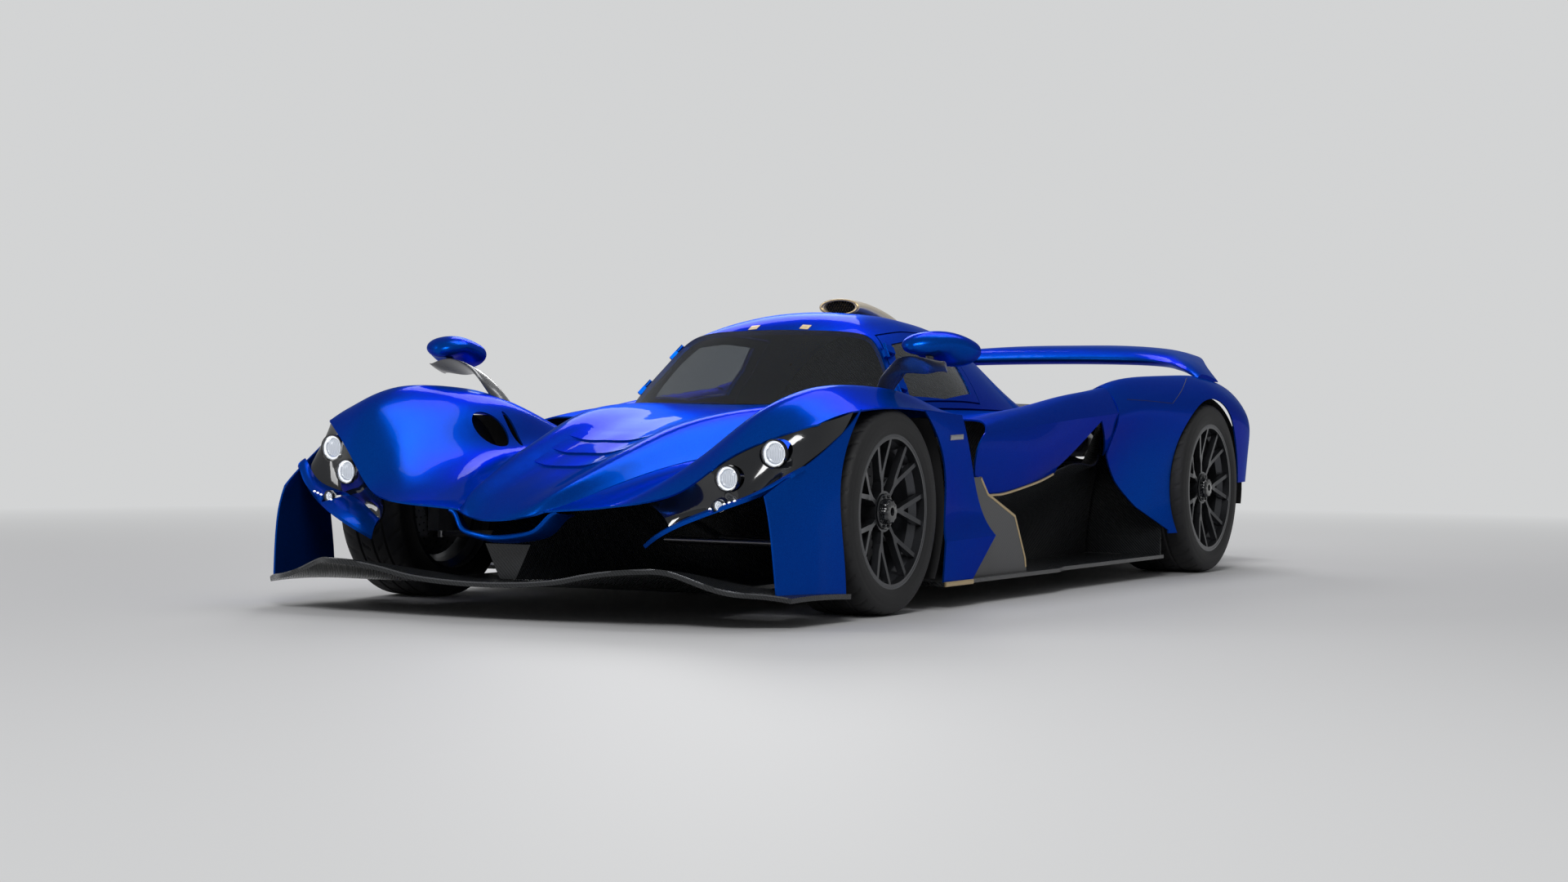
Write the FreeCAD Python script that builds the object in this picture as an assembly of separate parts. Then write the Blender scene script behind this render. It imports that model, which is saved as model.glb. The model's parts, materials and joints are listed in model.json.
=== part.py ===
import FreeCAD, Part
import math
import os

# A closed two-seat track hypercar: carbon tub, teardrop canopy with two lifting doors, open
# channels between the nose and the front fenders, side pods, and a full-width rear wing.
# Millimetres, +Z up, nose towards -Y, the car's left is +X. The origin is on the ground,
# halfway between nose and tail, on the centre plane.

# Overall sizes
overall_length = 5186.0
half_width = 1000.0
overall_height = 1093.0
wheelbase = 2950.0
front_overhang = 895.0
ground_clearance = 75.0

# Walls
body_wall = 6.0
canopy_wall = 20.0
glass_wall = 5.0
glass_inset = 4.0
tub_wall = 24.0
bulkhead_wall = 14.0
floor_wall = 14.0
splitter_wall = 16.0
blade_wall = 12.0
seat_wall = 22.0
plate_wall = 8.0

# Clearances
seat_gap = 0.3
door_gap = 7.0
arch_gap = 18.0
bearing_gap = 0.05
cut_over = 40.0
deep_cut = 300.0
seam_over = 12.0

# Wheels and tyres
front_tyre_radius = 334.0
front_tyre_width = 265.0
front_rim_radius = 241.0
front_tyre_face = 988.0
rear_tyre_radius = 351.5
rear_tyre_width = 325.0
rear_rim_radius = 254.0
rear_tyre_face = 1010.0
tyre_wall = 13.0
rim_inset = 8.0
tyre_shoulder_share = 0.72
flange_height = 13.0
flange_wall = 6.0
barrel_wall = 8.0
barrel_drop = 20.0
spoke_count = 7
spoke_width = 17.0
spoke_depth = 24.0
spoke_dish = 26.0
spoke_taper_share = 0.8
spoke_fork_share = 0.50
spoke_overlap_share = 0.12
dish_knee_shares = (0.55, 0.8)
hub_depth_share = 1.5
seat_run_share = 5.0
nut_shares = (0.7, 0.8)
hub_radius = 66.0
nut_radius = 31.0
nut_length = 26.0
nut_bore = 13.0
stub_radius = 26.0
disc_radius_front = 190.0
disc_radius_rear = 190.0
disc_wall = 34.0
disc_offset = -24.0

# Running gear
kingpin_offset = 70.0
kingpin_height = 128.0
joint_radius = 17.0
joint_height = 24.0
arm_radius = 11.0
arm_spread = 150.0
rear_pin_offset = 74.0
upright_wall = 46.0
upright_width = 92.0
caliper_wall = 20.0
caliper_clearance = 4.0
caliper_bridge = 10.0
caliper_heel_share = 0.55
caliper_toe_share = 0.66
caliper_bracket_share = 1.2
arm_root_share = 0.10
arm_rise = 14.0
rear_arm_rise = 36.0
caliper_sweep = 62.0
driveshaft_radius = 16.0

# Cabin
seat_centre_x = 212.0
seat_half_width = 190.0
yoke_width = 280.0
yoke_height = 165.0
yoke_rod = 13.0
yoke_tilt = 22.0
yoke_top_shares = (0.92, 0.8)
yoke_foot_shares = (0.45, 1.1)
yoke_spoke_share = 0.97
yoke_pad_share = 0.6
column_radius = 18.0
column_length = 96.0
collar_wall = 9.0
collar_start = 64.0
collar_length = 40.0
seat_base_width = 220.0
seat_base_length = 200.0

# Powertrain
engine_width = 560.0
engine_length = 600.0
engine_height = 470.0
gearbox_width = 300.0
gearbox_length = 640.0
gearbox_height = 240.0
gearbox_taper_shares = [(0, 1.0), (0.9, 0.95), (1.0, 0.8)]
exhaust_radius = 66.0
exhaust_wall = 4.0
exhaust_length = 180.0
pipe_radius_share = 0.6
pipe_drop_share = 0.65

# Door hinges
hinge_radius = 7.0
hinge_lift = 13.0
hinge_leaf = 6.0
hinge_length = 34.0
hinge_reach = 44.0
hinge_root = 18.0
hinge_foot = 12.0
hinge_sink_share = 0.7

# Lamps
main_lamp_radius = 45.0
low_lamp_radius = 42.0
fog_lamp_radius = 20.0
lamp_depth = 46.0
lamp_bulge = 12.0
tail_lamp_wall = 10.0

V = FreeCAD.Vector
front_axle_y = front_overhang - overall_length / 2
tail_share = (overall_length - front_overhang) / wheelbase
rear_axle_y = front_axle_y + wheelbase
front_wheel_x = front_tyre_face - front_tyre_width / 2
rear_wheel_x = rear_tyre_face - rear_tyre_width / 2
kingpin_x = front_wheel_x - kingpin_offset
centre_plane = V(1, 0, 0)
floor_top = ground_clearance + floor_wall


def at(x_share, y_share, z_share):
    """A point from its shares of the half width, the wheelbase and the overall height."""
    return V(x_share * half_width, front_axle_y + y_share * wheelbase, z_share * overall_height)


laid_shares = (0, 0.25, 0.5, 0.75, 1.0)


def points(shares):
    return [at(*place) for place in shares]


def mirrored(shape):
    return shape.mirror(V(0, 0, 0), centre_plane)


def across(rows):
    """Whole rows from rows that start on the centre plane and run to the left."""
    full = []
    for row in rows:
        right = [V(-p.x, p.y, p.z) for p in row[:0:-1]]
        full.append(right + row)
    return full


def spline_poles(row):
    curve = Part.BSplineCurve()
    curve.interpolate(Points=row, Parameters=[float(i) for i in range(len(row))])
    return curve


def surface_through(grid):
    """A surface through a net of points, evenly spaced in both of its own directions."""
    along = [spline_poles(row) for row in grid]
    poles = [curve.getPoles() for curve in along]
    columns = [spline_poles([row[j] for row in poles]) for j in range(len(poles[0]))]
    net = [[column.getPoles()[i] for column in columns] for i in range(len(columns[0].getPoles()))]
    surface = Part.BSplineSurface()
    surface.buildFromPolesMultsKnots(
        net, columns[0].getMultiplicities(), along[0].getMultiplicities(),
        columns[0].getKnots(), along[0].getKnots(), False, False, columns[0].Degree, along[0].Degree)
    return surface


def strip_between(row, other):
    """The straight-sided face between the curves through two rows of points."""
    one = spline_poles(row)
    two = spline_poles(other)
    surface = Part.BSplineSurface()
    surface.buildFromPolesMultsKnots(
        [one.getPoles(), two.getPoles()], [2, 2], one.getMultiplicities(), [0, 1], one.getKnots(),
        False, False, 1, one.Degree)
    return surface.toShape()


def offset_net(grid, wall):
    """The net moved by the wall along its own normals."""
    last_i = len(grid) - 1
    last_j = len(grid[0]) - 1
    moved = []
    for i, row in enumerate(grid):
        line = []
        for j, p in enumerate(row):
            down = grid[min(i + 1, last_i)][j] - grid[max(i - 1, 0)][j]
            side = row[min(j + 1, last_j)] - row[max(j - 1, 0)]
            line.append(p + down.cross(side).normalize() * wall)
        moved.append(line)
    return moved


def skin(grid, wall, crease_rows=(), crease_columns=()):
    """A shell of even wall between a net and its offset, creased along the named lines."""
    inner = offset_net(grid, wall)
    row_cuts = [0] + list(crease_rows) + [len(grid) - 1]
    column_cuts = [0] + list(crease_columns) + [len(grid[0]) - 1]
    faces = []
    for top, bottom in zip(row_cuts, row_cuts[1:]):
        for left, right in zip(column_cuts, column_cuts[1:]):
            for net in (grid, inner):
                patch = [row[left:right + 1] for row in net[top:bottom + 1]]
                faces.append(surface_through(patch).toShape())
    rims = []
    for left, right in zip(column_cuts, column_cuts[1:]):
        for i in (0, len(grid) - 1):
            rims.append((grid[i][left:right + 1], inner[i][left:right + 1]))
    for top, bottom in zip(row_cuts, row_cuts[1:]):
        for j in (0, len(grid[0]) - 1):
            rims.append(([row[j] for row in grid[top:bottom + 1]],
                         [row[j] for row in inner[top:bottom + 1]]))
    for edge, inner_edge in rims:
        faces.append(strip_between(edge, inner_edge))
    shell = Part.makeShell(faces)
    shell.sewShape()
    solid = Part.makeSolid(Part.Shell(shell.Faces))
    if solid.Volume < 0:
        solid.reverse()
    return solid


def prism_side(outline, x_low, x_high):
    """A block over an outline of wheelbase and height shares, between two widths."""
    corners = [V(x_low, at(0, y, z).y, at(0, y, z).z) for y, z in outline]
    face = Part.Face(Part.makePolygon(corners + corners[:1]))
    return face.extrude(V(x_high - x_low, 0, 0))


def prism_plan(outline, z_low, height):
    """A plate over an outline of half-width and wheelbase shares."""
    corners = [V(at(x, y, 0).x, at(x, y, 0).y, z_low) for x, y in outline]
    face = Part.Face(Part.makePolygon(corners + corners[:1]))
    return face.extrude(V(0, 0, height))


def both_ways(half):
    """A closed outline from its left half, which starts and ends on the centre plane."""
    return half + [(-x, y) for x, y in half[::-1] if x > 0]


def turned(profile, centre):
    """A solid of revolution about the X line through centre from (x, radius) corners."""
    corners = [centre + V(x, 0, r) for x, r in profile]
    face = Part.Face(Part.makePolygon(corners + corners[:1]))
    return face.revolve(centre, V(1, 0, 0), 360)


def moved(shape, way):
    copy = shape.copy()
    copy.translate(way)
    return copy


def main_solid(shape):
    return max(shape.Solids, key=lambda solid: solid.Volume)


def trimmed(piece, seat, way):
    """The main body of a piece, cut back from its seat by the seat gap along the way."""
    return main_solid(main_solid(piece.cut(seat)).cut(moved(seat, way * seat_gap)))


def below(grid):
    """All that lies under the surface through a net, raised by the seat gap."""
    lid = moved(surface_through(grid).toShape(), V(0, 0, seat_gap))
    return lid.extrude(V(0, 0, -deep_cut))


def above_floor(piece):
    """The main body of a piece above the floor's top face."""
    low = V(-overall_length / 2, -overall_length / 2, 0)
    return main_solid(piece.cut(Part.makeBox(overall_length, overall_length, floor_top + seat_gap, low)))


def laid_on(grid, row_span, column_span, lift):
    """A small net on the surface through a grid, lifted off it along its normals."""
    surface = surface_through(grid)
    laid = []
    for row_share in laid_shares:
        u = row_span[0] + (row_span[1] - row_span[0]) * row_share
        line = []
        for column_share in laid_shares:
            v = column_span[0] + (column_span[1] - column_span[0]) * column_share
            line.append(surface.value(u, v) + surface.normal(u, v) * lift)
        laid.append(line)
    return laid


def rod(start, end, radius):
    return Part.makeCylinder(radius, (end - start).Length, start, end - start)


def block(centre, size):
    return Part.makeBox(size.x, size.y, size.z, centre - size / 2)


def save(name, shape):
    shape.exportStep("parts/" + name + ".step")


# Nose: beak, two ridges and the seams to the fenders, from the tip to the screen
nose_shares = [
    [(0, -0.288, 0.285), (0.06, -0.284, 0.288), (0.11, -0.276, 0.295), (0.14, -0.270, 0.303),
     (0.16, -0.266, 0.311)],
    [(0, -0.244, 0.343), (0.078, -0.243, 0.345), (0.150, -0.241, 0.361), (0.174, -0.239, 0.347),
     (0.193, -0.237, 0.331)],
    [(0, -0.193, 0.392), (0.085, -0.193, 0.392), (0.167, -0.191, 0.412), (0.205, -0.192, 0.394),
     (0.236, -0.192, 0.369)],
    [(0, -0.142, 0.432), (0.095, -0.141, 0.436), (0.186, -0.139, 0.460), (0.240, -0.138, 0.439),
     (0.283, -0.137, 0.411)],
    [(0, -0.081, 0.485), (0.105, -0.080, 0.487), (0.206, -0.078, 0.511), (0.275, -0.078, 0.481),
     (0.332, -0.078, 0.446)],
    [(0, -0.015, 0.535), (0.12, -0.013, 0.539), (0.237, -0.010, 0.561), (0.325, -0.010, 0.523),
     (0.395, -0.010, 0.476)],
    [(0, 0.066, 0.575), (0.145, 0.067, 0.578), (0.288, 0.068, 0.599), (0.383, 0.068, 0.563),
     (0.450, 0.068, 0.512)],
    [(0, 0.150, 0.604), (0.17, 0.152, 0.606), (0.34, 0.156, 0.620), (0.435, 0.158, 0.592),
     (0.495, 0.158, 0.549)],
    [(0, 0.246, 0.621), (0.19, 0.250, 0.623), (0.38, 0.265, 0.626), (0.48, 0.284, 0.622),
     (0.548, 0.298, 0.609)],
]

# Front fender: from the nose seam down the channel, over the crown and out to the lip
fender_shares = [
    [(0.32, -0.264, 0.322), (0.44, -0.264, 0.334), (0.585, -0.235, 0.368), (0.715, -0.210, 0.462),
     (0.85, -0.176, 0.531), (0.935, -0.150, 0.562)],
    [(0.345, -0.222, 0.345), (0.47, -0.221, 0.380), (0.60, -0.200, 0.450), (0.735, -0.178, 0.548),
     (0.862, -0.148, 0.588), (0.952, -0.124, 0.582)],
    [(0.375, -0.178, 0.378), (0.50, -0.178, 0.425), (0.618, -0.163, 0.514), (0.755, -0.146, 0.608),
     (0.872, -0.120, 0.622), (0.965, -0.098, 0.596)],
    [(0.41, -0.128, 0.410), (0.53, -0.128, 0.462), (0.635, -0.121, 0.560), (0.772, -0.110, 0.643),
     (0.881, -0.088, 0.643), (0.975, -0.068, 0.604)],
    [(0.45, -0.074, 0.436), (0.552, -0.074, 0.490), (0.648, -0.073, 0.590), (0.788, -0.068, 0.666),
     (0.889, -0.052, 0.654), (0.984, -0.036, 0.610)],
    [(0.49, -0.008, 0.455), (0.572, -0.008, 0.505), (0.658, -0.010, 0.607), (0.802, -0.012, 0.674),
     (0.896, -0.004, 0.657), (0.992, 0.004, 0.612)],
    [(0.535, 0.066, 0.470), (0.598, 0.062, 0.515), (0.673, 0.056, 0.610), (0.816, 0.052, 0.670),
     (0.903, 0.052, 0.653), (0.998, 0.050, 0.608)],
    [(0.575, 0.150, 0.490), (0.630, 0.142, 0.520), (0.700, 0.132, 0.598), (0.83, 0.122, 0.648),
     (0.912, 0.112, 0.636), (1.0, 0.104, 0.600)],
    [(0.61, 0.290, 0.510), (0.68, 0.280, 0.500), (0.76, 0.262, 0.520), (0.845, 0.235, 0.560),
     (0.92, 0.200, 0.580), (1.0, 0.163, 0.591)],
]
outlet_shares = (0.60, 0.010, 0.535)
outlet_length = 205.0
outlet_height = 150.0
slot_shares = (0.61, 0.062, 0.540)
slot_length = 46.0
wall_lean = 52.0
outlet_depth = 60.0

# Chin: the blue lip that hangs in a U below the beak
chin_shares = [
    [(0, -0.2785, 0.238), (0.082, -0.275, 0.245), (0.135, -0.2725, 0.258), (0.165, -0.267, 0.290),
     (0.20, -0.263, 0.309)],
    [(0, -0.276, 0.222), (0.085, -0.272, 0.230), (0.145, -0.268, 0.246), (0.178, -0.263, 0.280),
     (0.212, -0.259, 0.300)],
    [(0, -0.254, 0.214), (0.090, -0.250, 0.222), (0.155, -0.246, 0.240), (0.19, -0.243, 0.274),
     (0.225, -0.240, 0.296)],
]

# Cheek ahead of the front wheel, from the blade's line down to the splitter
cheek_shares = [
    [(0.905, -0.244, 0.366), (0.93, -0.210, 0.412), (0.955, -0.170, 0.462), (0.975, -0.122, 0.530),
     (0.982, -0.078, 0.606)],
    [(0.925, -0.246, 0.300), (0.94, -0.217, 0.325), (0.955, -0.186, 0.352), (0.972, -0.154, 0.385),
     (0.985, -0.126, 0.430)],
    [(0.938, -0.246, 0.215), (0.95, -0.217, 0.222), (0.962, -0.187, 0.230), (0.975, -0.156, 0.245),
     (0.987, -0.127, 0.270)],
    [(0.95, -0.244, 0.080), (0.962, -0.215, 0.080), (0.973, -0.185, 0.080), (0.983, -0.150, 0.080),
     (0.99, -0.118, 0.080)],
]

# Panel behind the front wheel, from the fender lip down to the gold foot
flare_shares = [
    [(0.999, 0.066, 0.602), (1.0, 0.114, 0.597), (1.0, 0.163, 0.590)],
    [(0.996, 0.119, 0.450), (0.998, 0.152, 0.450), (1.0, 0.190, 0.445)],
    [(0.990, 0.128, 0.315), (0.984, 0.172, 0.315), (0.985, 0.224, 0.315)],
    [(1.004, 0.120, 0.205), (1.008, 0.185, 0.209), (1.008, 0.254, 0.213)],
    [(0.992, 0.122, 0.070), (0.995, 0.155, 0.070), (0.995, 0.193, 0.070)],
]

# Blade under the lamps and the dark pod between the blade and the fender's edge
blade_shares = [
    [(0.51, -0.260, 0.222), (0.615, -0.267, 0.275), (0.704, -0.258, 0.311), (0.784, -0.243, 0.342),
     (0.862, -0.226, 0.372), (0.940, -0.204, 0.430)],
    [(0.530, -0.246, 0.252), (0.623, -0.243, 0.296), (0.712, -0.233, 0.330), (0.807, -0.226, 0.361),
     (0.885, -0.214, 0.400), (0.945, -0.197, 0.438)],
    [(0.548, -0.229, 0.271), (0.631, -0.216, 0.307), (0.72, -0.205, 0.339), (0.83, -0.207, 0.371),
     (0.905, -0.198, 0.418), (0.950, -0.188, 0.446)],
]
pod_shares = [
    [(0.50, -0.250, 0.345), (0.585, -0.229, 0.376), (0.715, -0.204, 0.468), (0.85, -0.170, 0.535),
     (0.932, -0.144, 0.563), (0.968, -0.092, 0.595)],
    [(0.525, -0.230, 0.305), (0.61, -0.214, 0.337), (0.72, -0.207, 0.398), (0.84, -0.182, 0.452),
     (0.918, -0.166, 0.490), (0.970, -0.106, 0.560)],
    [(0.548, -0.228, 0.262), (0.630, -0.215, 0.298), (0.720, -0.204, 0.330), (0.830, -0.205, 0.362),
     (0.904, -0.196, 0.410), (0.966, -0.122, 0.522)],
]
main_lamp_shares = (0.842, -0.186, 0.479)
low_lamp_shares = (0.723, -0.213, 0.409)
fog_lamp_shares = (0.735, -0.238, 0.335)

# Splitter: leading edge, middle and trailing edge, from the centre to the left tip
splitter_shares = [
    [(0, -0.3025, 0.110), (0.24, -0.3025, 0.121), (0.354, -0.3025, 0.139), (0.467, -0.3025, 0.155),
     (0.577, -0.3015, 0.163), (0.656, -0.290, 0.158), (0.75, -0.281, 0.128), (0.838, -0.274, 0.107),
     (0.905, -0.258, 0.100), (0.985, -0.235, 0.086)],
    [(0, -0.215, 0.100), (0.24, -0.215, 0.105), (0.354, -0.215, 0.116), (0.467, -0.215, 0.128),
     (0.577, -0.212, 0.134), (0.656, -0.207, 0.130), (0.75, -0.202, 0.112), (0.838, -0.196, 0.099),
     (0.905, -0.190, 0.095), (0.992, -0.180, 0.088)],
    [(0, -0.116, 0.092), (0.24, -0.116, 0.092), (0.354, -0.116, 0.094), (0.467, -0.116, 0.096),
     (0.577, -0.116, 0.097), (0.656, -0.116, 0.097), (0.75, -0.116, 0.095), (0.838, -0.116, 0.093),
     (0.905, -0.115, 0.092), (1.0, -0.113, 0.092)],
]
floor_half_shares = [
    (0, -0.116), (0.56, -0.116), (0.56, 0.128), (0.93, 0.128), (1.0, 0.118), (1.0, 0.196),
    (0.985, 0.205), (0.985, 0.468), (0.955, 0.505), (0.955, 0.860), (0.63, 0.872), (0.63, 1.030),
    (0, 1.030)]
fence_shares = [(0.205, 0.395), (0.258, 0.395), (0.275, 0.340), (0.355, 0.264), (0.386, 0.125)]
fence_foot_shares = (0.392, 0.200)
fence_x_share = 0.945

# Tub stations from the keel to the engine: half widths at floor and sill, keel's rise, sill height
tub_stations = [
    (-0.252, 0.030, 0.085, 0.030, 0.212),
    (-0.170, 0.080, 0.150, 0.020, 0.335),
    (-0.068, 0.160, 0.235, 0.010, 0.415),
    (0.051, 0.270, 0.350, 0, 0.480),
    (0.170, 0.370, 0.455, 0, 0.535),
    (0.310, 0.440, 0.535, 0, 0.600),
    (0.480, 0.450, 0.550, 0, 0.605),
    (0.660, 0.450, 0.500, 0, 0.590),
]
cabin_front_share = 0.085
cabin_rear_share = 0.640
cowl_share = 0.255

# Canopy: from the screen frame back to the tail, from the roof line down to the sill
canopy_shares = [
    [(0, 0.342, 0.876), (0.12, 0.344, 0.874), (0.23, 0.349, 0.870), (0.335, 0.356, 0.860),
     (0.405, 0.349, 0.823), (0.458, 0.336, 0.759), (0.506, 0.319, 0.690), (0.55, 0.303, 0.617)],
    [(0, 0.407, 0.935), (0.12, 0.407, 0.930), (0.235, 0.407, 0.914), (0.34, 0.407, 0.884),
     (0.42, 0.402, 0.827), (0.48, 0.393, 0.759), (0.53, 0.383, 0.688), (0.565, 0.373, 0.615)],
    [(0, 0.475, 0.947), (0.12, 0.475, 0.942), (0.235, 0.475, 0.927), (0.34, 0.475, 0.893),
     (0.425, 0.475, 0.832), (0.487, 0.475, 0.761), (0.535, 0.475, 0.688), (0.567, 0.475, 0.615)],
    [(0, 0.542, 0.942), (0.118, 0.542, 0.937), (0.228, 0.542, 0.919), (0.328, 0.542, 0.884),
     (0.41, 0.542, 0.823), (0.472, 0.542, 0.755), (0.522, 0.542, 0.684), (0.558, 0.542, 0.613)],
    [(0, 0.610, 0.931), (0.112, 0.610, 0.924), (0.215, 0.610, 0.904), (0.308, 0.610, 0.865),
     (0.388, 0.610, 0.801), (0.45, 0.610, 0.737), (0.50, 0.610, 0.672), (0.538, 0.610, 0.611)],
    [(0, 0.678, 0.908), (0.10, 0.678, 0.899), (0.195, 0.678, 0.876), (0.282, 0.678, 0.832),
     (0.358, 0.678, 0.773), (0.42, 0.678, 0.712), (0.47, 0.678, 0.657), (0.508, 0.678, 0.608)],
    [(0, 0.746, 0.864), (0.09, 0.746, 0.854), (0.175, 0.746, 0.828), (0.255, 0.746, 0.787),
     (0.325, 0.746, 0.732), (0.385, 0.746, 0.679), (0.435, 0.746, 0.636), (0.472, 0.746, 0.600)],
    [(0, 0.803, 0.810), (0.08, 0.803, 0.798), (0.155, 0.803, 0.773), (0.228, 0.803, 0.736),
     (0.295, 0.803, 0.692), (0.352, 0.803, 0.651), (0.40, 0.803, 0.618), (0.438, 0.803, 0.590)],
    [(0, 0.865, 0.752), (0.07, 0.865, 0.742), (0.135, 0.865, 0.718), (0.196, 0.865, 0.686),
     (0.252, 0.865, 0.650), (0.302, 0.865, 0.618), (0.345, 0.865, 0.590), (0.380, 0.865, 0.565)],
    [(0, 0.930, 0.700), (0.058, 0.930, 0.691), (0.112, 0.930, 0.670), (0.162, 0.930, 0.642),
     (0.208, 0.930, 0.612), (0.250, 0.930, 0.584), (0.286, 0.930, 0.559), (0.316, 0.930, 0.536)],
    [(0, 0.995, 0.652), (0.046, 0.995, 0.644), (0.090, 0.995, 0.626), (0.130, 0.995, 0.602),
     (0.166, 0.995, 0.576), (0.199, 0.995, 0.551), (0.228, 0.995, 0.528), (0.252, 0.995, 0.508)],
    [(0, 1.040, 0.612), (0.038, 1.040, 0.605), (0.074, 1.040, 0.589), (0.106, 1.040, 0.568),
     (0.136, 1.040, 0.545), (0.162, 1.040, 0.523), (0.185, 1.040, 0.502), (0.205, 1.040, 0.484)],
]
screen_shares = [
    [(0, 0.247, 0.623), (0.14, 0.249, 0.624), (0.28, 0.257, 0.625), (0.40, 0.270, 0.624),
     (0.48, 0.284, 0.622), (0.545, 0.301, 0.618)],
    [(0, 0.272, 0.690), (0.135, 0.274, 0.690), (0.265, 0.281, 0.690), (0.37, 0.293, 0.690),
     (0.445, 0.305, 0.690), (0.503, 0.317, 0.690)],
    [(0, 0.296, 0.757), (0.13, 0.298, 0.757), (0.25, 0.305, 0.757), (0.345, 0.316, 0.757),
     (0.405, 0.325, 0.758), (0.455, 0.334, 0.759)],
    [(0, 0.320, 0.823), (0.125, 0.322, 0.823), (0.235, 0.329, 0.823), (0.315, 0.338, 0.823),
     (0.365, 0.344, 0.823), (0.402, 0.347, 0.823)],
    [(0, 0.340, 0.875), (0.11, 0.342, 0.874), (0.20, 0.346, 0.872), (0.265, 0.350, 0.869),
     (0.305, 0.353, 0.865), (0.332, 0.354, 0.860)],
]
door_shares = [(0.326, 0.634), (0.331, 0.690), (0.350, 0.780), (0.372, 0.855), (0.440, 0.872),
               (0.540, 0.862), (0.556, 0.760), (0.552, 0.634)]
window_shares = [(0.346, 0.652), (0.352, 0.700), (0.366, 0.775), (0.384, 0.828), (0.440, 0.845),
                 (0.524, 0.836), (0.538, 0.756), (0.532, 0.665), (0.440, 0.645)]
hinge_low_shares = (0.547, 0.316, 0.640)
hinge_high_shares = (0.392, 0.364, 0.850)
hinge_place_shares = (0.16, 0.74)

# Side pod: shoulder band from the sill outward, then down the flank to the gold edge
sidepod_shares = [
    [(0.535, 0.300, 0.6115), (0.68, 0.298, 0.585), (0.80, 0.296, 0.578), (0.895, 0.290, 0.574),
     (0.948, 0.268, 0.535), (0.945, 0.244, 0.455), (0.920, 0.262, 0.336)],
    [(0.550, 0.372, 0.6115), (0.69, 0.372, 0.590), (0.80, 0.372, 0.596), (0.895, 0.372, 0.602),
     (0.950, 0.360, 0.548), (0.948, 0.350, 0.450), (0.922, 0.345, 0.340)],
    [(0.552, 0.448, 0.6115), (0.69, 0.448, 0.597), (0.80, 0.448, 0.610), (0.892, 0.448, 0.622),
     (0.948, 0.442, 0.562), (0.945, 0.436, 0.455), (0.922, 0.430, 0.366)],
    [(0.543, 0.542, 0.610), (0.69, 0.542, 0.603), (0.80, 0.542, 0.632), (0.888, 0.542, 0.654),
     (0.945, 0.540, 0.578), (0.930, 0.535, 0.470), (0.900, 0.530, 0.400)],
    [(0.518, 0.627, 0.608), (0.69, 0.627, 0.606), (0.80, 0.627, 0.648), (0.882, 0.627, 0.674),
     (0.942, 0.627, 0.590), (0.915, 0.627, 0.480), (0.880, 0.627, 0.420)],
    [(0.480, 0.702, 0.603), (0.66, 0.702, 0.614), (0.80, 0.702, 0.668), (0.876, 0.702, 0.692),
     (0.940, 0.702, 0.602), (0.900, 0.702, 0.490), (0.860, 0.702, 0.430)],
]
pod_cut_share = 0.62
intake_shares = [(0.508, 0.05), (0.512, 0.415), (0.545, 0.452), (0.597, 0.515), (0.644, 0.575),
                 (0.702, 0.451), (0.746, 0.357), (0.800, 0.262), (0.868, 0.172), (0.868, 0.05)]

# Rear fender: from the engine deck over the crest and down the side to the floor
rear_fender_shares = [
    [(0.66, 0.702, 0.614), (0.80, 0.702, 0.668), (0.876, 0.702, 0.692), (0.940, 0.702, 0.602),
     (0.905, 0.702, 0.490), (0.860, 0.702, 0.330), (0.850, 0.702, 0.160)],
    [(0.66, 0.780, 0.640), (0.81, 0.780, 0.700), (0.882, 0.780, 0.724), (0.955, 0.780, 0.632),
     (0.925, 0.780, 0.500), (0.890, 0.780, 0.330), (0.890, 0.780, 0.160)],
    [(0.66, 0.865, 0.660), (0.82, 0.865, 0.716), (0.892, 0.865, 0.736), (0.975, 0.865, 0.648),
     (0.965, 0.865, 0.510), (0.955, 0.865, 0.330), (0.965, 0.865, 0.160)],
    [(0.66, 0.950, 0.672), (0.83, 0.950, 0.725), (0.902, 0.950, 0.743), (0.995, 0.950, 0.662),
     (1.0, 0.950, 0.520), (1.0, 0.950, 0.330), (1.0, 0.950, 0.160)],
    [(0.66, 1.020, 0.674), (0.835, 1.020, 0.728), (0.906, 1.020, 0.746), (1.005, 1.020, 0.672),
     (1.015, 1.020, 0.530), (1.010, 1.020, 0.330), (1.005, 1.020, 0.160)],
    [(0.66, 1.090, 0.658), (0.83, 1.090, 0.718), (0.90, 1.090, 0.736), (1.0, 1.090, 0.655),
     (1.010, 1.090, 0.520), (1.005, 1.090, 0.330), (1.0, 1.090, 0.160)],
    [(0.66, 1.150, 0.640), (0.82, 1.150, 0.700), (0.89, 1.150, 0.718), (0.985, 1.150, 0.630),
     (0.995, 1.152, 0.510), (0.990, 1.150, 0.330), (0.985, 1.150, 0.160)],
    [(0.66, 1.180, 0.620), (0.81, 1.185, 0.680), (0.88, 1.190, 0.700), (0.965, 1.195, 0.600),
     (0.975, 1.195, 0.480), (0.970, 1.185, 0.330), (0.965, 1.180, 0.160)],
]
fender_tail_shares = [(0.98, 0.05), (0.98, 0.335), (1.30, 0.335), (1.30, 0.05)]

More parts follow.
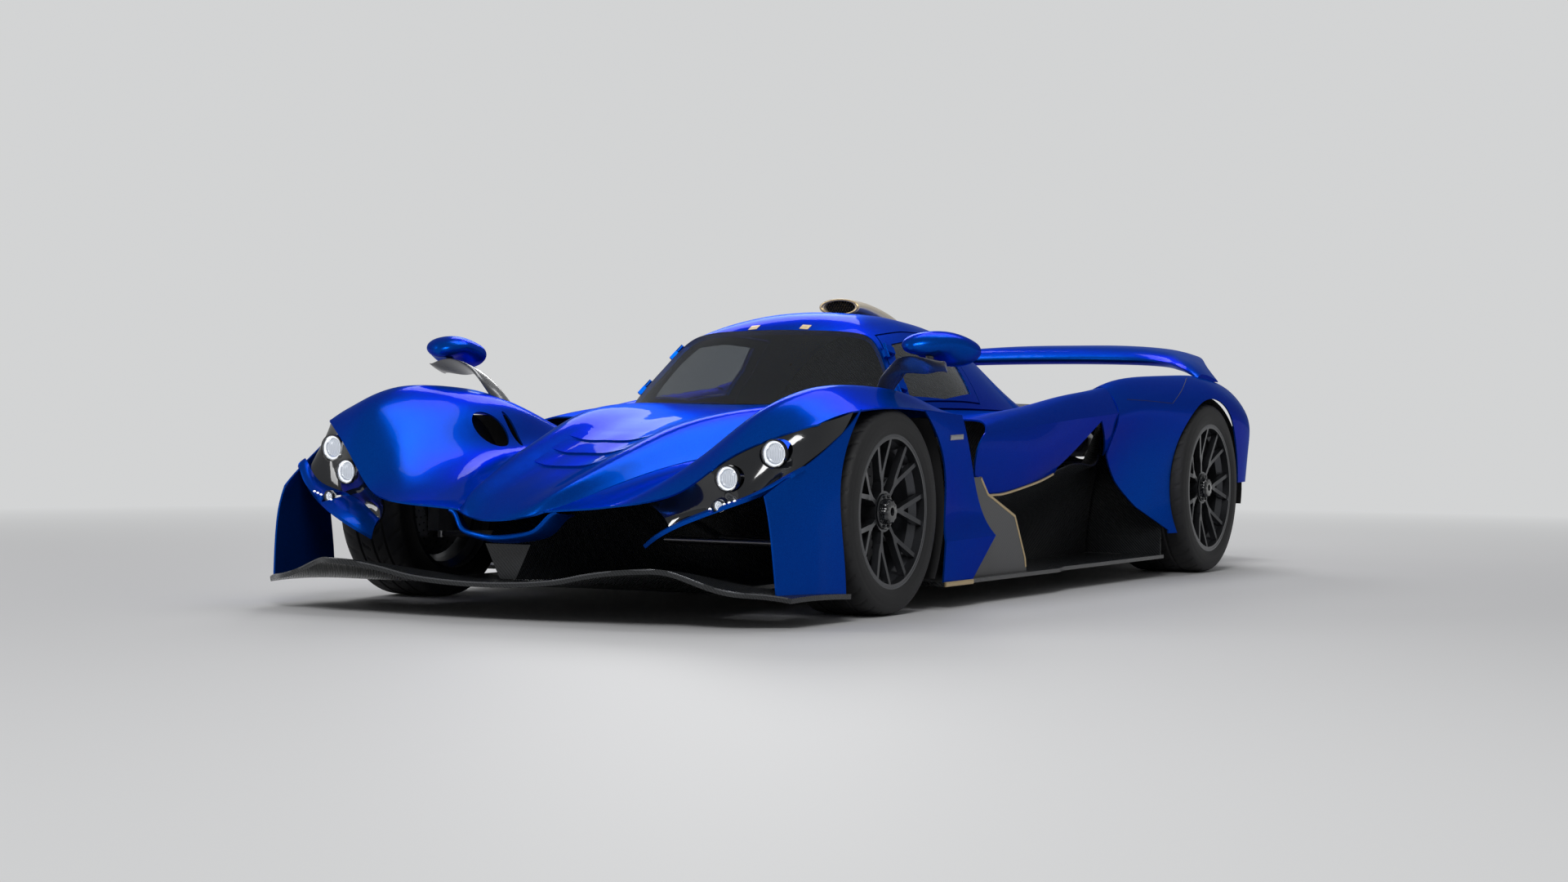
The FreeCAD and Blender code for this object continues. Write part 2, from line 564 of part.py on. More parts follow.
# Undercut: the dark body side from under the pod's gold edge down to the floor
undercut_shares = [
    [(0.905, 0.264, 0.335), (0.905, 0.345, 0.338), (0.900, 0.430, 0.364), (0.875, 0.525, 0.405),
     (0.830, 0.627, 0.470), (0.790, 0.720, 0.540), (0.760, 0.800, 0.598), (0.745, 0.856, 0.610)],
    [(0.840, 0.268, 0.210), (0.800, 0.345, 0.210), (0.760, 0.430, 0.225), (0.720, 0.525, 0.240),
     (0.690, 0.627, 0.270), (0.670, 0.720, 0.300), (0.660, 0.800, 0.330), (0.655, 0.856, 0.340)],
    [(0.800, 0.272, 0.070), (0.740, 0.345, 0.070), (0.680, 0.430, 0.070), (0.640, 0.525, 0.070),
     (0.625, 0.627, 0.070), (0.620, 0.720, 0.070), (0.620, 0.800, 0.070), (0.620, 0.856, 0.070)],
]

# Wall ahead of the rear wheel, from the floor up over the front of the tyre
liner_shares = [(0.862, 0.060), (0.862, 0.200), (0.865, 0.330), (0.875, 0.440), (0.895, 0.530),
                (0.918, 0.582)]
liner_width_shares = (0.615, 0.78, 0.940)

# Engine deck between the rear fenders
deck_shares = [
    [(0, 0.7022, 0.600), (0.25, 0.7022, 0.600), (0.42, 0.7022, 0.598), (0.56, 0.7022, 0.604),
     (0.67, 0.7022, 0.618)],
    [(0, 0.810, 0.640), (0.25, 0.810, 0.622), (0.43, 0.808, 0.598), (0.57, 0.800, 0.600),
     (0.67, 0.790, 0.648)],
    [(0, 0.930, 0.650), (0.25, 0.928, 0.632), (0.44, 0.920, 0.600), (0.58, 0.900, 0.600),
     (0.67, 0.880, 0.668)],
    [(0, 1.060, 0.630), (0.25, 1.055, 0.615), (0.45, 1.040, 0.585), (0.58, 1.000, 0.596),
     (0.67, 0.975, 0.680)],
    [(0, 1.200, 0.600), (0.25, 1.190, 0.590), (0.45, 1.165, 0.565), (0.59, 1.110, 0.585),
     (0.67, 1.075, 0.667)],
    [(0, 1.340, 0.560), (0.25, 1.325, 0.556), (0.45, 1.295, 0.548), (0.60, 1.235, 0.565),
     (0.67, 1.178, 0.620)],
]

# Rear closing panel from the deck down to the diffuser, tail lamps at its corners, exhaust
fascia_shares = [
    [(0, 1.345, 0.562), (0.25, 1.330, 0.558), (0.45, 1.300, 0.550), (0.62, 1.255, 0.556),
     (0.80, 1.215, 0.560), (0.93, 1.188, 0.552)],
    [(0, 1.365, 0.450), (0.25, 1.348, 0.450), (0.45, 1.315, 0.450), (0.62, 1.268, 0.450),
     (0.80, 1.224, 0.450), (0.945, 1.192, 0.450)],
    [(0, 1.350, 0.335), (0.25, 1.334, 0.335), (0.45, 1.302, 0.335), (0.62, 1.258, 0.335),
     (0.80, 1.216, 0.335), (0.94, 1.186, 0.335)],
]
exhaust_shares = (0, 1.365, 0.475)
exhaust_sides = 8
hung_columns = 3
tail_lamp_rows = (0.15, 1.85)
tail_lamp_columns = (9.35, 9.95)

# Diffuser: how the ramp rises along its length
diffuser_front_share = 1.030
diffuser_half_share = 0.60
diffuser_lip_share = 0.015
diffuser_rise_shares = [(0, 0), (0.33, 0.028), (0.67, 0.092), (1.0, 0.190)]
strake_count = 6

# Seats: places up the shell with the slope there, and the section across with raised sides
seat_shares = [(0.395, 0.225, -12.0), (0.440, 0.205, 0.0), (0.490, 0.195, 12.0), (0.528, 0.225, 45.0),
               (0.560, 0.310, 66.0), (0.588, 0.410, 68.0), (0.612, 0.510, 70.0), (0.628, 0.590, 72.0)]
seat_section_shares = [(-1.0, 0.34), (-0.82, 0.16), (-0.45, 0.0), (0, -0.04), (0.45, 0.0), (0.82, 0.16),
                       (1.0, 0.34)]
seat_base_share = 0.472
dash_width_shares = (0, 0.18, 0.36, 0.524)
dash_shares = [(0.262, 0.606, 0.18), (0.290, 0.612, 0.14), (0.318, 0.610, 0.10), (0.334, 0.584, 0.08),
               (0.338, 0.548, 0.08)]
yoke_shares = (0.212, 0.368, 0.590)

# Wing sections: place of the leading edge, chord and rise to the trailing edge
wing_stations = [
    (0.0, 1.227, 0.828, 0.180, 0.0476),
    (0.25, 1.220, 0.826, 0.179, 0.0467),
    (0.45, 1.203, 0.820, 0.170, 0.0384),
    (0.62, 1.159, 0.807, 0.149, 0.0302),
    (0.75, 1.092, 0.789, 0.122, 0.0183),
    (0.85, 1.047, 0.767, 0.095, 0.0037),
    (0.915, 1.027, 0.737, 0.088, -0.0082),
]
wing_section_shares = [(0, 0), (0.06, 0.045), (0.28, 0.085), (0.62, 0.070), (1.0, 0.012),
                       (1.0, -0.010), (0.62, -0.020), (0.28, -0.040), (0.06, -0.038)]

# Roof scoop stations: place, half width and half height of the duct
scoop_stations = [
    (0.515, 0.9705, 0.088, 0.0295),
    (0.535, 0.9700, 0.080, 0.0295),
    (0.580, 0.9610, 0.060, 0.0300),
    (0.640, 0.9380, 0.034, 0.0300),
    (0.700, 0.8980, 0.012, 0.0270),
]
scoop_throat_share = 0.78
scoop_throat_rings = 3

# Mirror arm: places along the blade with its half chord, half thickness and pitch
arm_stations = [
    (0.500, 0.1220, 0.505, 0.016, 0.011, 0),
    (0.572, 0.1195, 0.521, 0.016, 0.012, 0),
    (0.660, 0.1185, 0.542, 0.016, 0.013, 0),
    (0.728, 0.1165, 0.590, 0.016, 0.014, 2.0),
    (0.790, 0.1095, 0.664, 0.016, 0.013, 6.0),
    (0.836, 0.1015, 0.717, 0.017, 0.010, 14.0),
    (0.885, 0.0970, 0.738, 0.019, 0.006, 26.0),
    (0.960, 0.0970, 0.740, 0.019, 0.006, 26.0),
    (1.022, 0.1020, 0.736, 0.014, 0.005, 26.0),
]

# Mirror head: places from the nose back to the glass with half widths and half heights
head_stations = [
    (0.944, 0.066, 0.794, 0.012, 0.008),
    (0.950, 0.073, 0.798, 0.046, 0.024),
    (0.960, 0.085, 0.803, 0.074, 0.033),
    (0.972, 0.100, 0.805, 0.092, 0.038),
    (0.983, 0.117, 0.797, 0.101, 0.047),
    (0.990, 0.134, 0.788, 0.103, 0.049),
    (0.993, 0.145, 0.784, 0.099, 0.046),
]
mirror_glass_depth = 12.0
mirror_stem_radius = 14.0
mirror_stem_shares = (0.965, 0.101)


def net(shares):
    return [points(row) for row in shares]


hood_seam = [row[-1] for row in net(nose_shares)]


def run_on(edge, neighbour):
    """The edge point moved on past itself by the seam's cutting allowance."""
    return edge + (edge - neighbour).normalize() * seam_over


def curtain(shift):
    """Upright block from the centre plane out to the hood's left seam, moved out by the shift."""
    line = [V(p.x + shift, p.y, 0) for p in hood_seam]
    start = line[0] * 2 - line[1]
    end = line[-1] * 2 - line[-2]
    corners = [end, V(0, end.y, 0), V(0, start.y, 0), start]
    edges = [spline_poles([start] + line + [end]).toShape()]
    edges += [Part.LineSegment(one, other).toShape() for one, other in zip(corners, corners[1:])]
    return Part.Face(Part.Wire(edges)).extrude(V(0, 0, overall_height))


def build_hood():
    """The hood, run past its seams and cut back to them by upright faces."""
    rows = [row[:-1] + [run_on(row[-1], row[-2])] for row in net(nose_shares)]
    inside = curtain(0)
    return main_solid(skin(across(rows), body_wall).common(inside.fuse(mirrored(inside)).removeSplitter()))


fender_net = [[run_on(edge, row[0])] + row for edge, row in zip(hood_seam, net(fender_shares))]


def build_chin(fenders):
    """The lip below the beak, cut back to the fenders it hangs from."""
    chin = skin(across(net(chin_shares)), -body_wall)
    for fender in fenders:
        chin = trimmed(chin, fender, V(0, 0, -1))
    return chin


def oval(centre, first, second):
    """A closed ellipse from its centre and two square half axes, either of them the longer."""
    if first.Length >= second.Length:
        ring = Part.Ellipse(centre + first, centre + second, centre)
    else:
        ring = Part.Ellipse(centre + second, centre - first, centre)
    return Part.Wire(ring.toShape())


def outlet_cutter(centre, length, height):
    """An oval prism square to the fender's inner wall."""
    lean = math.radians(wall_lean)
    along = V(0, length / 2, 0)
    up = V(math.cos(lean), 0, math.sin(lean)) * (height / 2)
    way = V(-math.sin(lean), 0, math.cos(lean)) * outlet_depth
    return Part.Face(oval(centre - way, along, up)).extrude(way * 2)


def build_front_fender():
    shell = skin(fender_net, body_wall).cut(curtain(seat_gap))
    for place, length in ((outlet_shares, outlet_length), (slot_shares, slot_length)):
        shell = shell.cut(outlet_cutter(at(*place), length, outlet_height))
    return main_solid(shell)


def build_cheek(fender, splitter):
    cheek = trimmed(skin(net(cheek_shares), -body_wall), splitter, V(0, 0, 1))
    return trimmed(cheek, fender, V(0, 0, -1))


def build_flare(fender):
    flare = skin(net(flare_shares), -body_wall, crease_rows=(3,))
    return above_floor(trimmed(flare, fender, V(0, 0, -1)))


def build_side_duct(pod_net):
    """The dark body side, from inside the pod's lower edge down to the floor."""
    grid = net(undercut_shares)
    for i, row in enumerate(offset_net(pod_net, body_wall + seat_gap)):
        grid[0][i] = row[-1]
    return above_floor(skin(grid, -body_wall))


def build_liner():
    """The wall that closes the side duct off from the rear wheel."""
    rows = [[at(x, y, z) for x in liner_width_shares] for y, z in liner_shares]
    return above_floor(skin(rows, -body_wall))


def lamp_hole(place, radius):
    start = at(*place) - V(0, lamp_depth, 0)
    return Part.makeCylinder(radius + seat_gap, 3 * lamp_depth, start, V(0, 1, 0))


def build_blade(cheek):
    blade = trimmed(skin(net(blade_shares), blade_wall), cheek, V(-1, 0, 0))
    return blade.cut(lamp_hole(fog_lamp_shares, fog_lamp_radius))


def build_lamp_pod(fender, blade, cheek):
    """Glossy panel around the lamps, between the fender's front edge and the blade."""
    pod = trimmed(skin(net(pod_shares), body_wall), fender, V(0, 0, -1))
    pod = trimmed(trimmed(pod, blade, V(0, 0, 1)), cheek, V(-1, 0, 0))
    holes = [lamp_hole(main_lamp_shares, main_lamp_radius), lamp_hole(low_lamp_shares, low_lamp_radius)]
    return main_solid(pod.cut(holes))


def build_lamp(place, radius):
    centre = at(*place)
    body = Part.makeCylinder(radius, lamp_depth, centre, V(0, 1, 0))
    ball_radius = (radius ** 2 + lamp_bulge ** 2) / (2 * lamp_bulge)
    ball = Part.makeSphere(ball_radius, centre + V(0, ball_radius - lamp_bulge, 0))
    dome = ball.common(Part.makeCylinder(radius, 2 * lamp_bulge, centre, V(0, -1, 0)))
    return body.fuse(dome).removeSplitter()


def tub_loft(inset, first):
    """A loft through the tub's stations, drawn in by the wall where it is the room inside."""
    rings = []
    for y, low_x, sill_x, low_z, sill_z in tub_stations[first:]:
        low = at(low_x, y, low_z) + V(0, 0, floor_top + seat_gap)
        sill = at(sill_x, y, sill_z)
        ring = [V(inset - low.x, low.y, low.z + inset), V(low.x - inset, low.y, low.z + inset),
                V(sill.x - inset, sill.y, sill.z), V(inset - sill.x, sill.y, sill.z)]
        rings.append(Part.makePolygon(ring + ring[:1]))
    return Part.makeLoft(rings, True, True)


def build_bulkhead(canopy_net):
    """The wall behind the seats, from the tub's rear wall up to the inside of the roof."""
    roof = surface_through(offset_net(canopy_net, canopy_wall + seat_gap)).toShape()
    room = roof.extrude(V(0, 0, -overall_height / 2))
    corner = at(0, cabin_rear_share, tub_stations[-1][4]) + V(-half_width, bulkhead_wall, -bulkhead_wall)
    return main_solid(room.common(Part.makeBox(2 * half_width, bulkhead_wall, overall_height, corner)))


def build_tub():
    """Carbon tub: closed over the feet, open above the seats, solid keel in front."""
    front = at(0, cabin_front_share, 0).y
    rear = at(0, cabin_rear_share, 0).y
    cowl = at(0, cowl_share, 0).y
    room = tub_loft(tub_wall, 2)
    room = room.common(Part.makeBox(2 * half_width, rear - front, overall_height, V(-half_width, front, 0)))
    feet = room.copy()
    feet.translate(V(0, 0, -tub_wall))
    covered = room.common(feet)
    mouth = room.common(Part.makeBox(2 * half_width, rear - cowl, overall_height, V(-half_width, cowl, 0)))
    return tub_loft(0, 0).cut(covered).cut(mouth)


def section(centre, half_w, half_h):
    """An upright ellipse across the car."""
    return oval(centre, V(half_w, 0, 0), V(0, 0, half_h))


def build_scoop(roof):
    """Intake duct on the roof, with its throat open to the front."""
    outer = []
    throat = []
    for y, z, half_w, half_h in scoop_stations:
        centre = at(0, y, z)
        wide = half_w * half_width
        high = half_h * overall_height
        outer.append(section(centre, wide, high))
        throat.append(section(centre, wide * scoop_throat_share, high * scoop_throat_share))
    body = Part.makeLoft(outer, True)
    hole = Part.makeLoft(throat[:scoop_throat_rings], True)
    return main_solid(body.cut(hole).cut(below(roof)))


def build_mirror_head():
    """Teardrop housing, hollowed behind its glass at the rear."""
    rings = [section(at(x, y, z), w * half_width, h * overall_height) for x, y, z, w, h in head_stations]
    x, y, z, wide, high = head_stations[-1]
    recess = section(at(x, y, z), wide * half_width - body_wall, high * overall_height - body_wall)
    return Part.makeLoft(rings, True).cut(Part.Face(recess).extrude(V(0, -mirror_glass_depth, 0)))


def build_mirror_arm(fender_grid, head):
    """Thin blade from the fender up and out to a stem under the mirror's head."""
    centres = [at(x, y, z) for x, y, z, chord, depth, pitch in arm_stations]
    wires = []
    for i, (x, y, z, chord, depth, pitch) in enumerate(arm_stations):
        run = (centres[min(i + 1, len(centres) - 1)] - centres[max(i - 1, 0)]).normalize()
        level = V(0, math.cos(math.radians(pitch)), -math.sin(math.radians(pitch)))
        chord_way = (level - run * run.dot(level)).normalize()
        depth_way = run.cross(chord_way)
        wires.append(oval(centres[i], chord_way * (chord * wheelbase), depth_way * (depth * half_width)))
    foot = at(*mirror_stem_shares, arm_stations[-1][2])
    top = at(*mirror_stem_shares, head_stations[-1][2])
    arm = Part.makeLoft(wires, True).fuse(rod(foot, top, mirror_stem_radius))
    return trimmed(arm.cut(below(fender_grid)), head, V(0, 0, -1))


def build_wing(fender_grid):
    """Full-width wing whose ends run out on the crests of the rear fenders."""
    wires = []
    stations = [(-x, y, z, c, r) for x, y, z, c, r in wing_stations[:0:-1]] + wing_stations
    for x, y, z, chord, rise in stations:
        nose = at(x, y, z)
        tail = at(x, y + chord, z + rise)
        run = tail - nose
        up = V(0, 0, run.Length)
        ring = [nose + run * u + up * v for u, v in wing_section_shares]
        top = Part.BSplineCurve()
        top.interpolate(ring[5:] + ring[:5])
        wires.append(Part.Wire([top.toShape(), Part.LineSegment(ring[4], ring[5]).toShape()]))
    under = below(fender_grid)
    return main_solid(Part.makeLoft(wires, True).cut([under, mirrored(under)]))


def build_tyre(centre, radius, width, rim_radius):
    half = width / 2
    seat = half - rim_inset - flange_wall
    flank = (radius - rim_radius) / 2
    top = radius
    shoulder = half * tyre_shoulder_share
    outer = [
        Part.Arc(V(-seat, 0, rim_radius + flange_height), V(-half, 0, rim_radius + flank),
                 V(-half + rim_inset, 0, top - rim_inset * 2)).toShape(),
        Part.Arc(V(-half + rim_inset, 0, top - rim_inset * 2),
                 V(-(half + shoulder) / 2 + rim_inset / 4, 0, top - rim_inset / 2),
                 V(-shoulder, 0, top)).toShape(),
        Part.LineSegment(V(-shoulder, 0, top), V(shoulder, 0, top)).toShape(),
        Part.Arc(V(shoulder, 0, top), V((half + shoulder) / 2 - rim_inset / 4, 0, top - rim_inset / 2),
                 V(half - rim_inset, 0, top - rim_inset * 2)).toShape(),
        Part.Arc(V(half - rim_inset, 0, top - rim_inset * 2), V(half, 0, rim_radius + flank),
                 V(seat, 0, rim_radius + flange_height)).toShape(),
        Part.LineSegment(V(seat, 0, rim_radius + flange_height), V(seat, 0, rim_radius)).toShape(),
        Part.LineSegment(V(seat, 0, rim_radius), V(seat - tyre_wall, 0, rim_radius)).toShape(),
        Part.LineSegment(V(seat - tyre_wall, 0, rim_radius),
                         V(seat - tyre_wall, 0, top - tyre_wall * 2)).toShape(),
        Part.LineSegment(V(seat - tyre_wall, 0, top - tyre_wall * 2),
                         V(-seat + tyre_wall, 0, top - tyre_wall * 2)).toShape(),
        Part.LineSegment(V(-seat + tyre_wall, 0, top - tyre_wall * 2),
                         V(-seat + tyre_wall, 0, rim_radius)).toShape(),
        Part.LineSegment(V(-seat + tyre_wall, 0, rim_radius), V(-seat, 0, rim_radius)).toShape(),
        Part.LineSegment(V(-seat, 0, rim_radius), V(-seat, 0, rim_radius + flange_height)).toShape(),
    ]
    ring = Part.Face(Part.Wire(outer)).revolve(V(0, 0, 0), V(1, 0, 0), 360)
    ring.translate(centre)
    return ring


def build_rim(centre, width, rim_radius, disc_radius):
    """Barrel, seven forked spokes, hub, centre nut and brake disc, with the face towards +X."""
    half = width / 2 - rim_inset
    deep = rim_radius - barrel_drop
    seat_run = flange_wall * seat_run_share
    barrel = turned([
        (-half, rim_radius + flange_height), (-half + flange_wall, rim_radius + flange_height),
        (-half + flange_wall, rim_radius), (-half + seat_run, rim_radius),
        (-half + seat_run + barrel_drop, deep), (half - seat_run - barrel_drop, deep),
        (half - seat_run, rim_radius), (half - flange_wall, rim_radius),
        (half - flange_wall, rim_radius + flange_height), (half, rim_radius + flange_height),
        (half, rim_radius - barrel_wall), (half - seat_run, rim_radius - barrel_wall),
        (half - seat_run - barrel_drop, deep - barrel_wall),
        (-half + seat_run + barrel_drop, deep - barrel_wall),
        (-half + seat_run, rim_radius - barrel_wall), (-half, rim_radius - barrel_wall)], centre)
    face_x = half - flange_wall
    knee_place, knee_dish = dish_knee_shares
    dish = turned([
        (face_x, rim_radius - barrel_wall / 2), (face_x - spoke_dish * knee_dish, rim_radius * knee_place),
        (face_x - spoke_dish, hub_radius), (face_x - spoke_dish, 0),
        (face_x - spoke_dish - spoke_depth * hub_depth_share, 0),
        (face_x - spoke_dish - spoke_depth * hub_depth_share, hub_radius),
        (face_x - spoke_dish * knee_dish - spoke_depth, rim_radius * knee_place),
        (face_x - spoke_depth, rim_radius - barrel_wall / 2)], centre)
    pitch = 2 * math.pi / spoke_count
    fork_radius = rim_radius * spoke_fork_share
    reach = rim_radius + cut_over
    stars = []
    for k in range(spoke_count):
        middle = k * pitch
        fork = V(0, math.cos(middle), math.sin(middle)) * fork_radius
        legs = [(V(0, 0, 0), fork)]
        for side in (-1, 1):
            tip_angle = middle + side * pitch / 4
            tip = V(0, math.cos(tip_angle), math.sin(tip_angle)) * reach
            legs.append((fork - fork * spoke_overlap_share, tip))
        for start, end in legs:
            way = (end - start).normalize()
            edge = way.cross(V(1, 0, 0)) * (spoke_width / 2)
            low = start - way * (spoke_width / 4)
            ring = [low + edge, end + edge * spoke_taper_share, end - edge * spoke_taper_share, low - edge]
            leg = Part.Face(Part.makePolygon(ring + ring[:1])).extrude(V(width, 0, 0))
            leg.translate(centre - V(width / 2, 0, 0))
            stars.append(leg)
    star = stars[0].multiFuse(stars[1:])
    spokes = star.common(dish)
    hub_back = disc_offset - disc_wall / 2
    hub_front = face_x - spoke_dish
    hub = turned([(hub_back, 0), (hub_front, 0), (hub_front, hub_radius), (hub_back, hub_radius)], centre)
    nut_knee, nut_tip = nut_shares
    nut = turned([
        (hub_front, 0), (hub_front + nut_length, 0), (hub_front + nut_length, nut_radius * nut_tip),
        (hub_front + nut_length * nut_knee, nut_radius), (hub_front, nut_radius)], centre)
    disc = turned([
        (disc_offset - disc_wall / 2, hub_radius - flange_wall),
        (disc_offset + disc_wall / 2, hub_radius - flange_wall),
        (disc_offset + disc_wall / 2, disc_radius), (disc_offset - disc_wall / 2, disc_radius)], centre)
    bore = Part.makeCylinder(stub_radius + bearing_gap, hub_front - hub_back, centre + V(hub_back, 0, 0),
                             V(1, 0, 0))
    nut_hole = Part.makeCylinder(nut_bore, nut_length * 2, centre + V(hub_front + nut_length / 2, 0, 0),
                                 V(1, 0, 0))
    whole = barrel.multiFuse([spokes, hub, nut, disc]).removeSplitter()
    return whole.cut(bore).cut(nut_hole)


def sector(profile, centre, sweep):
    """Part of a revolve about the X line through centre, centred on the +Y side."""
    corners = [V(x, r, 0) for x, r in profile]
    face = Part.Face(Part.makePolygon(corners + corners[:1]))
    face.rotate(V(0, 0, 0), V(1, 0, 0), -sweep / 2)
    piece = face.revolve(V(0, 0, 0), V(1, 0, 0), sweep)
    piece.translate(centre)
    return piece


def build_upright(centre, pin_offset, disc_radius, hub_front):
    """Carrier, stub axle and caliper, inboard of a wheel that faces +X."""
    inner = disc_offset - disc_wall / 2 - caliper_clearance
    outer = disc_offset + disc_wall / 2 + caliper_clearance
    reach = disc_radius + caliper_clearance
    web = Part.makeBox(upright_wall, upright_width, 2 * (kingpin_height - joint_height),
                       centre + V(inner - upright_wall, -upright_width / 2, joint_height - kingpin_height))
    stub = Part.makeCylinder(stub_radius, hub_front - inner, centre + V(inner, 0, 0), V(1, 0, 0))
    heel = disc_radius * caliper_heel_share
    toe = disc_radius * caliper_toe_share
    caliper = sector([
        (inner - caliper_wall, heel), (inner, heel), (inner, reach), (outer, reach), (outer, toe),
        (outer + caliper_wall, toe), (outer + caliper_wall, reach + caliper_bridge),
        (inner - caliper_wall, reach + caliper_bridge)], centre, caliper_sweep)
    bracket = Part.makeBox(caliper_wall, heel * caliper_bracket_share, upright_width,
                           centre + V(inner - caliper_wall, 0, -upright_width / 2))
    return web.multiFuse([stub, caliper, bracket]).removeSplitter()


def build_wishbone(pin, height, root_x, rise, trim):
    """Two tubes from the ball joint's eye to the body, trimmed to the body's own face."""
    sign = 1 if height > 0 else -1
    eye_low = height if height > 0 else height - joint_height
    eye = Part.makeCylinder(joint_radius, joint_height - seat_gap, pin + V(0, 0, eye_low) + V(0, 0, (
        seat_gap if sign > 0 else 0)), V(0, 0, 1))
    middle = pin + V(0, 0, eye_low + joint_height / 2)
    tubes = [rod(middle, V(root_x, pin.y + side * arm_spread, middle.z - sign * rise), arm_radius)
             for side in (-1, 1)]
    return eye.multiFuse(tubes).cut(trim).removeSplitter()


def build_arms(pin, root_x, rise, trim):
    seat = kingpin_height - joint_height
    return [build_wishbone(pin, height, root_x, rise, trim) for height in (seat, -seat)]


def hub_front_at(width):
    return width / 2 - rim_inset - flange_wall - spoke_dish


def build_wheels():
    """Tyre and rim for the left wheels, by name."""
    made = {}
    for name, x, y, radius, width, rim_radius, disc_radius in (
            ("front", front_wheel_x, front_axle_y, front_tyre_radius, front_tyre_width,
             front_rim_radius, disc_radius_front),
            ("rear", rear_wheel_x, rear_axle_y, rear_tyre_radius, rear_tyre_width,
             rear_rim_radius, disc_radius_rear)):
        centre = V(x, y, radius)
        made["tyre_" + name] = build_tyre(centre, radius, width, rim_radius)
        made["rim_" + name] = build_rim(centre, width, rim_radius, disc_radius)
    return made


def build_powertrain():
    """Engine block behind the tub with the tapered gearbox behind it."""
    front = at(0, tub_stations[-1][0], 0).y + seat_gap
    base = floor_top + seat_gap
    engine = Part.makeBox(engine_width, engine_length, engine_height, V(-engine_width / 2, front, base))
    rear = front + engine_length
    mid_z = rear_tyre_radius
    sections = []
    for part_way, share in gearbox_taper_shares:
        y = rear + gearbox_length * part_way
        w = gearbox_width / 2 * share
        h = gearbox_height / 2 * share
        ring = [V(-w, y, mid_z - h), V(w, y, mid_z - h), V(w, y, mid_z + h), V(-w, y, mid_z + h)]
        sections.append(Part.makePolygon(ring + ring[:1]))
    gearbox = Part.makeLoft(sections, True, True)
    shafts = rod(V(-gearbox_width / 2, rear_axle_y, mid_z), V(gearbox_width / 2, rear_axle_y, mid_z),
                 driveshaft_radius * 2)
    return engine.fuse(gearbox).fuse(shafts).removeSplitter()


def build_floor():
    plate = prism_plan(both_ways(floor_half_shares), ground_clearance, floor_wall)
    edge_y = at(0, floor_half_shares[0][1], 0).y
    front = Part.makeBox(2 * half_width, seat_gap, floor_wall, V(-half_width, edge_y, ground_clearance))
    plate = plate.cut(front)
    foot = (ground_clearance + floor_wall / 2) / overall_height
    outline = fence_shares + [(y, foot) for y in fence_foot_shares]
    x = fence_x_share * half_width
    fence = prism_side(outline, x - plate_wall / 2, x + plate_wall / 2)
    return plate.multiFuse([fence, mirrored(fence)]).removeSplitter()


def build_diffuser(floor):
    """A ramp that rises to the tail, with upright strakes below it."""
    start = ground_clearance / overall_height
    rows = []
    for part_way, rise in diffuser_rise_shares:
        y = diffuser_front_share + (tail_share - diffuser_front_share) * part_way
        rows.append([at(x, y, start + rise) for x in (0, diffuser_half_share / 2, diffuser_half_share)])
    ramp = skin(across(rows), -plate_wall)
    low = (start + diffuser_rise_shares[1][1] / 2, start + diffuser_lip_share)
    outline = [(diffuser_front_share, start)]
    outline += [(diffuser_front_share + (tail_share - diffuser_front_share) * part_way, start + rise)
                for part_way, rise in diffuser_rise_shares[1:]]
    outline += [(tail_share, low[1]), (diffuser_front_share + (tail_share - diffuser_front_share) / 3, start)]
    strakes = []
    for k in range(strake_count):
        x = (2 * k / (strake_count - 1) - 1) * (diffuser_half_share * half_width - plate_wall / 2)
        strakes.append(prism_side(outline, x - plate_wall / 2, x + plate_wall / 2))
    return trimmed(ramp.multiFuse(strakes), floor, V(0, 1, 0))


def hinge_line(skin_face):
    """Two points of the left door's hinge line, lifted off the pillar, and the lift's way."""
    low = at(*hinge_low_shares)
    high = at(*hinge_high_shares)
    run = high - low
    touch = skin_face.Surface.parameter((low + high) / 2)
    out = skin_face.Surface.normal(*touch)
    if out.x < 0:
        out = out * -1
    out = (out - run * (out.dot(run) / run.dot(run))).normalize()
    return low + out * hinge_lift, high + out * hinge_lift, out


def placed(shape, origin, along, out):
    """The shape with its X turned to the way from the pillar to the door, Y inward and Z along."""
    back = along.cross(out)
    turn = FreeCAD.Matrix(back.x, -out.x, along.x, origin.x, back.y, -out.y, along.y, origin.y,
                          back.z, -out.z, along.z, origin.z, 0, 0, 0, 1)
    shape.Placement = FreeCAD.Placement(turn)
    return shape


def build_hinges(skin_face):
    """The pillar's and the door's halves of two hinges, end to end on one line."""
    low, high, out = hinge_line(skin_face)
    along = (high - low).normalize()
    foot_drop = hinge_lift + canopy_wall * hinge_sink_share
    pillar = []
    door = []
    for place in hinge_place_shares:
        origin = low + (high - low) * place
        for halves, start, reach, foot_start in (
                (pillar, -hinge_length - seat_gap, -hinge_root, -hinge_root),
                (door, 0, hinge_reach, hinge_reach - hinge_foot)):
            barrel = Part.makeCylinder(hinge_radius, hinge_length, V(0, 0, start), V(0, 0, 1))
            leaf = Part.makeBox(abs(reach), hinge_leaf, hinge_length,
                                V(min(reach, 0), -hinge_leaf / 2, start))
            foot = Part.makeBox(hinge_foot, foot_drop, hinge_length, V(foot_start, 0, start))
            halves.append(placed(barrel.multiFuse([leaf, foot]), origin, along, out))
    return pillar, door


def build_canopy(shell, opening, hinges, seats):
    """The roof with both door openings cut out of it and the pillars' hinge halves."""
    roof = shell.cut([opening, mirrored(opening)])
    for seat in seats:
        roof = trimmed(roof, seat, V(0, 0, 1))
    return roof.multiFuse(hinges + [mirrored(half) for half in hinges])


def on_skin(place, skin_face):
    """The point of the left side of the skin at a place given in wheelbase and height shares."""
    start = at(0, *place)
    line = Part.LineSegment(start, start + V(half_width, 0, 0)).toShape()
    return skin_face.distToShape(line)[1][0][0]


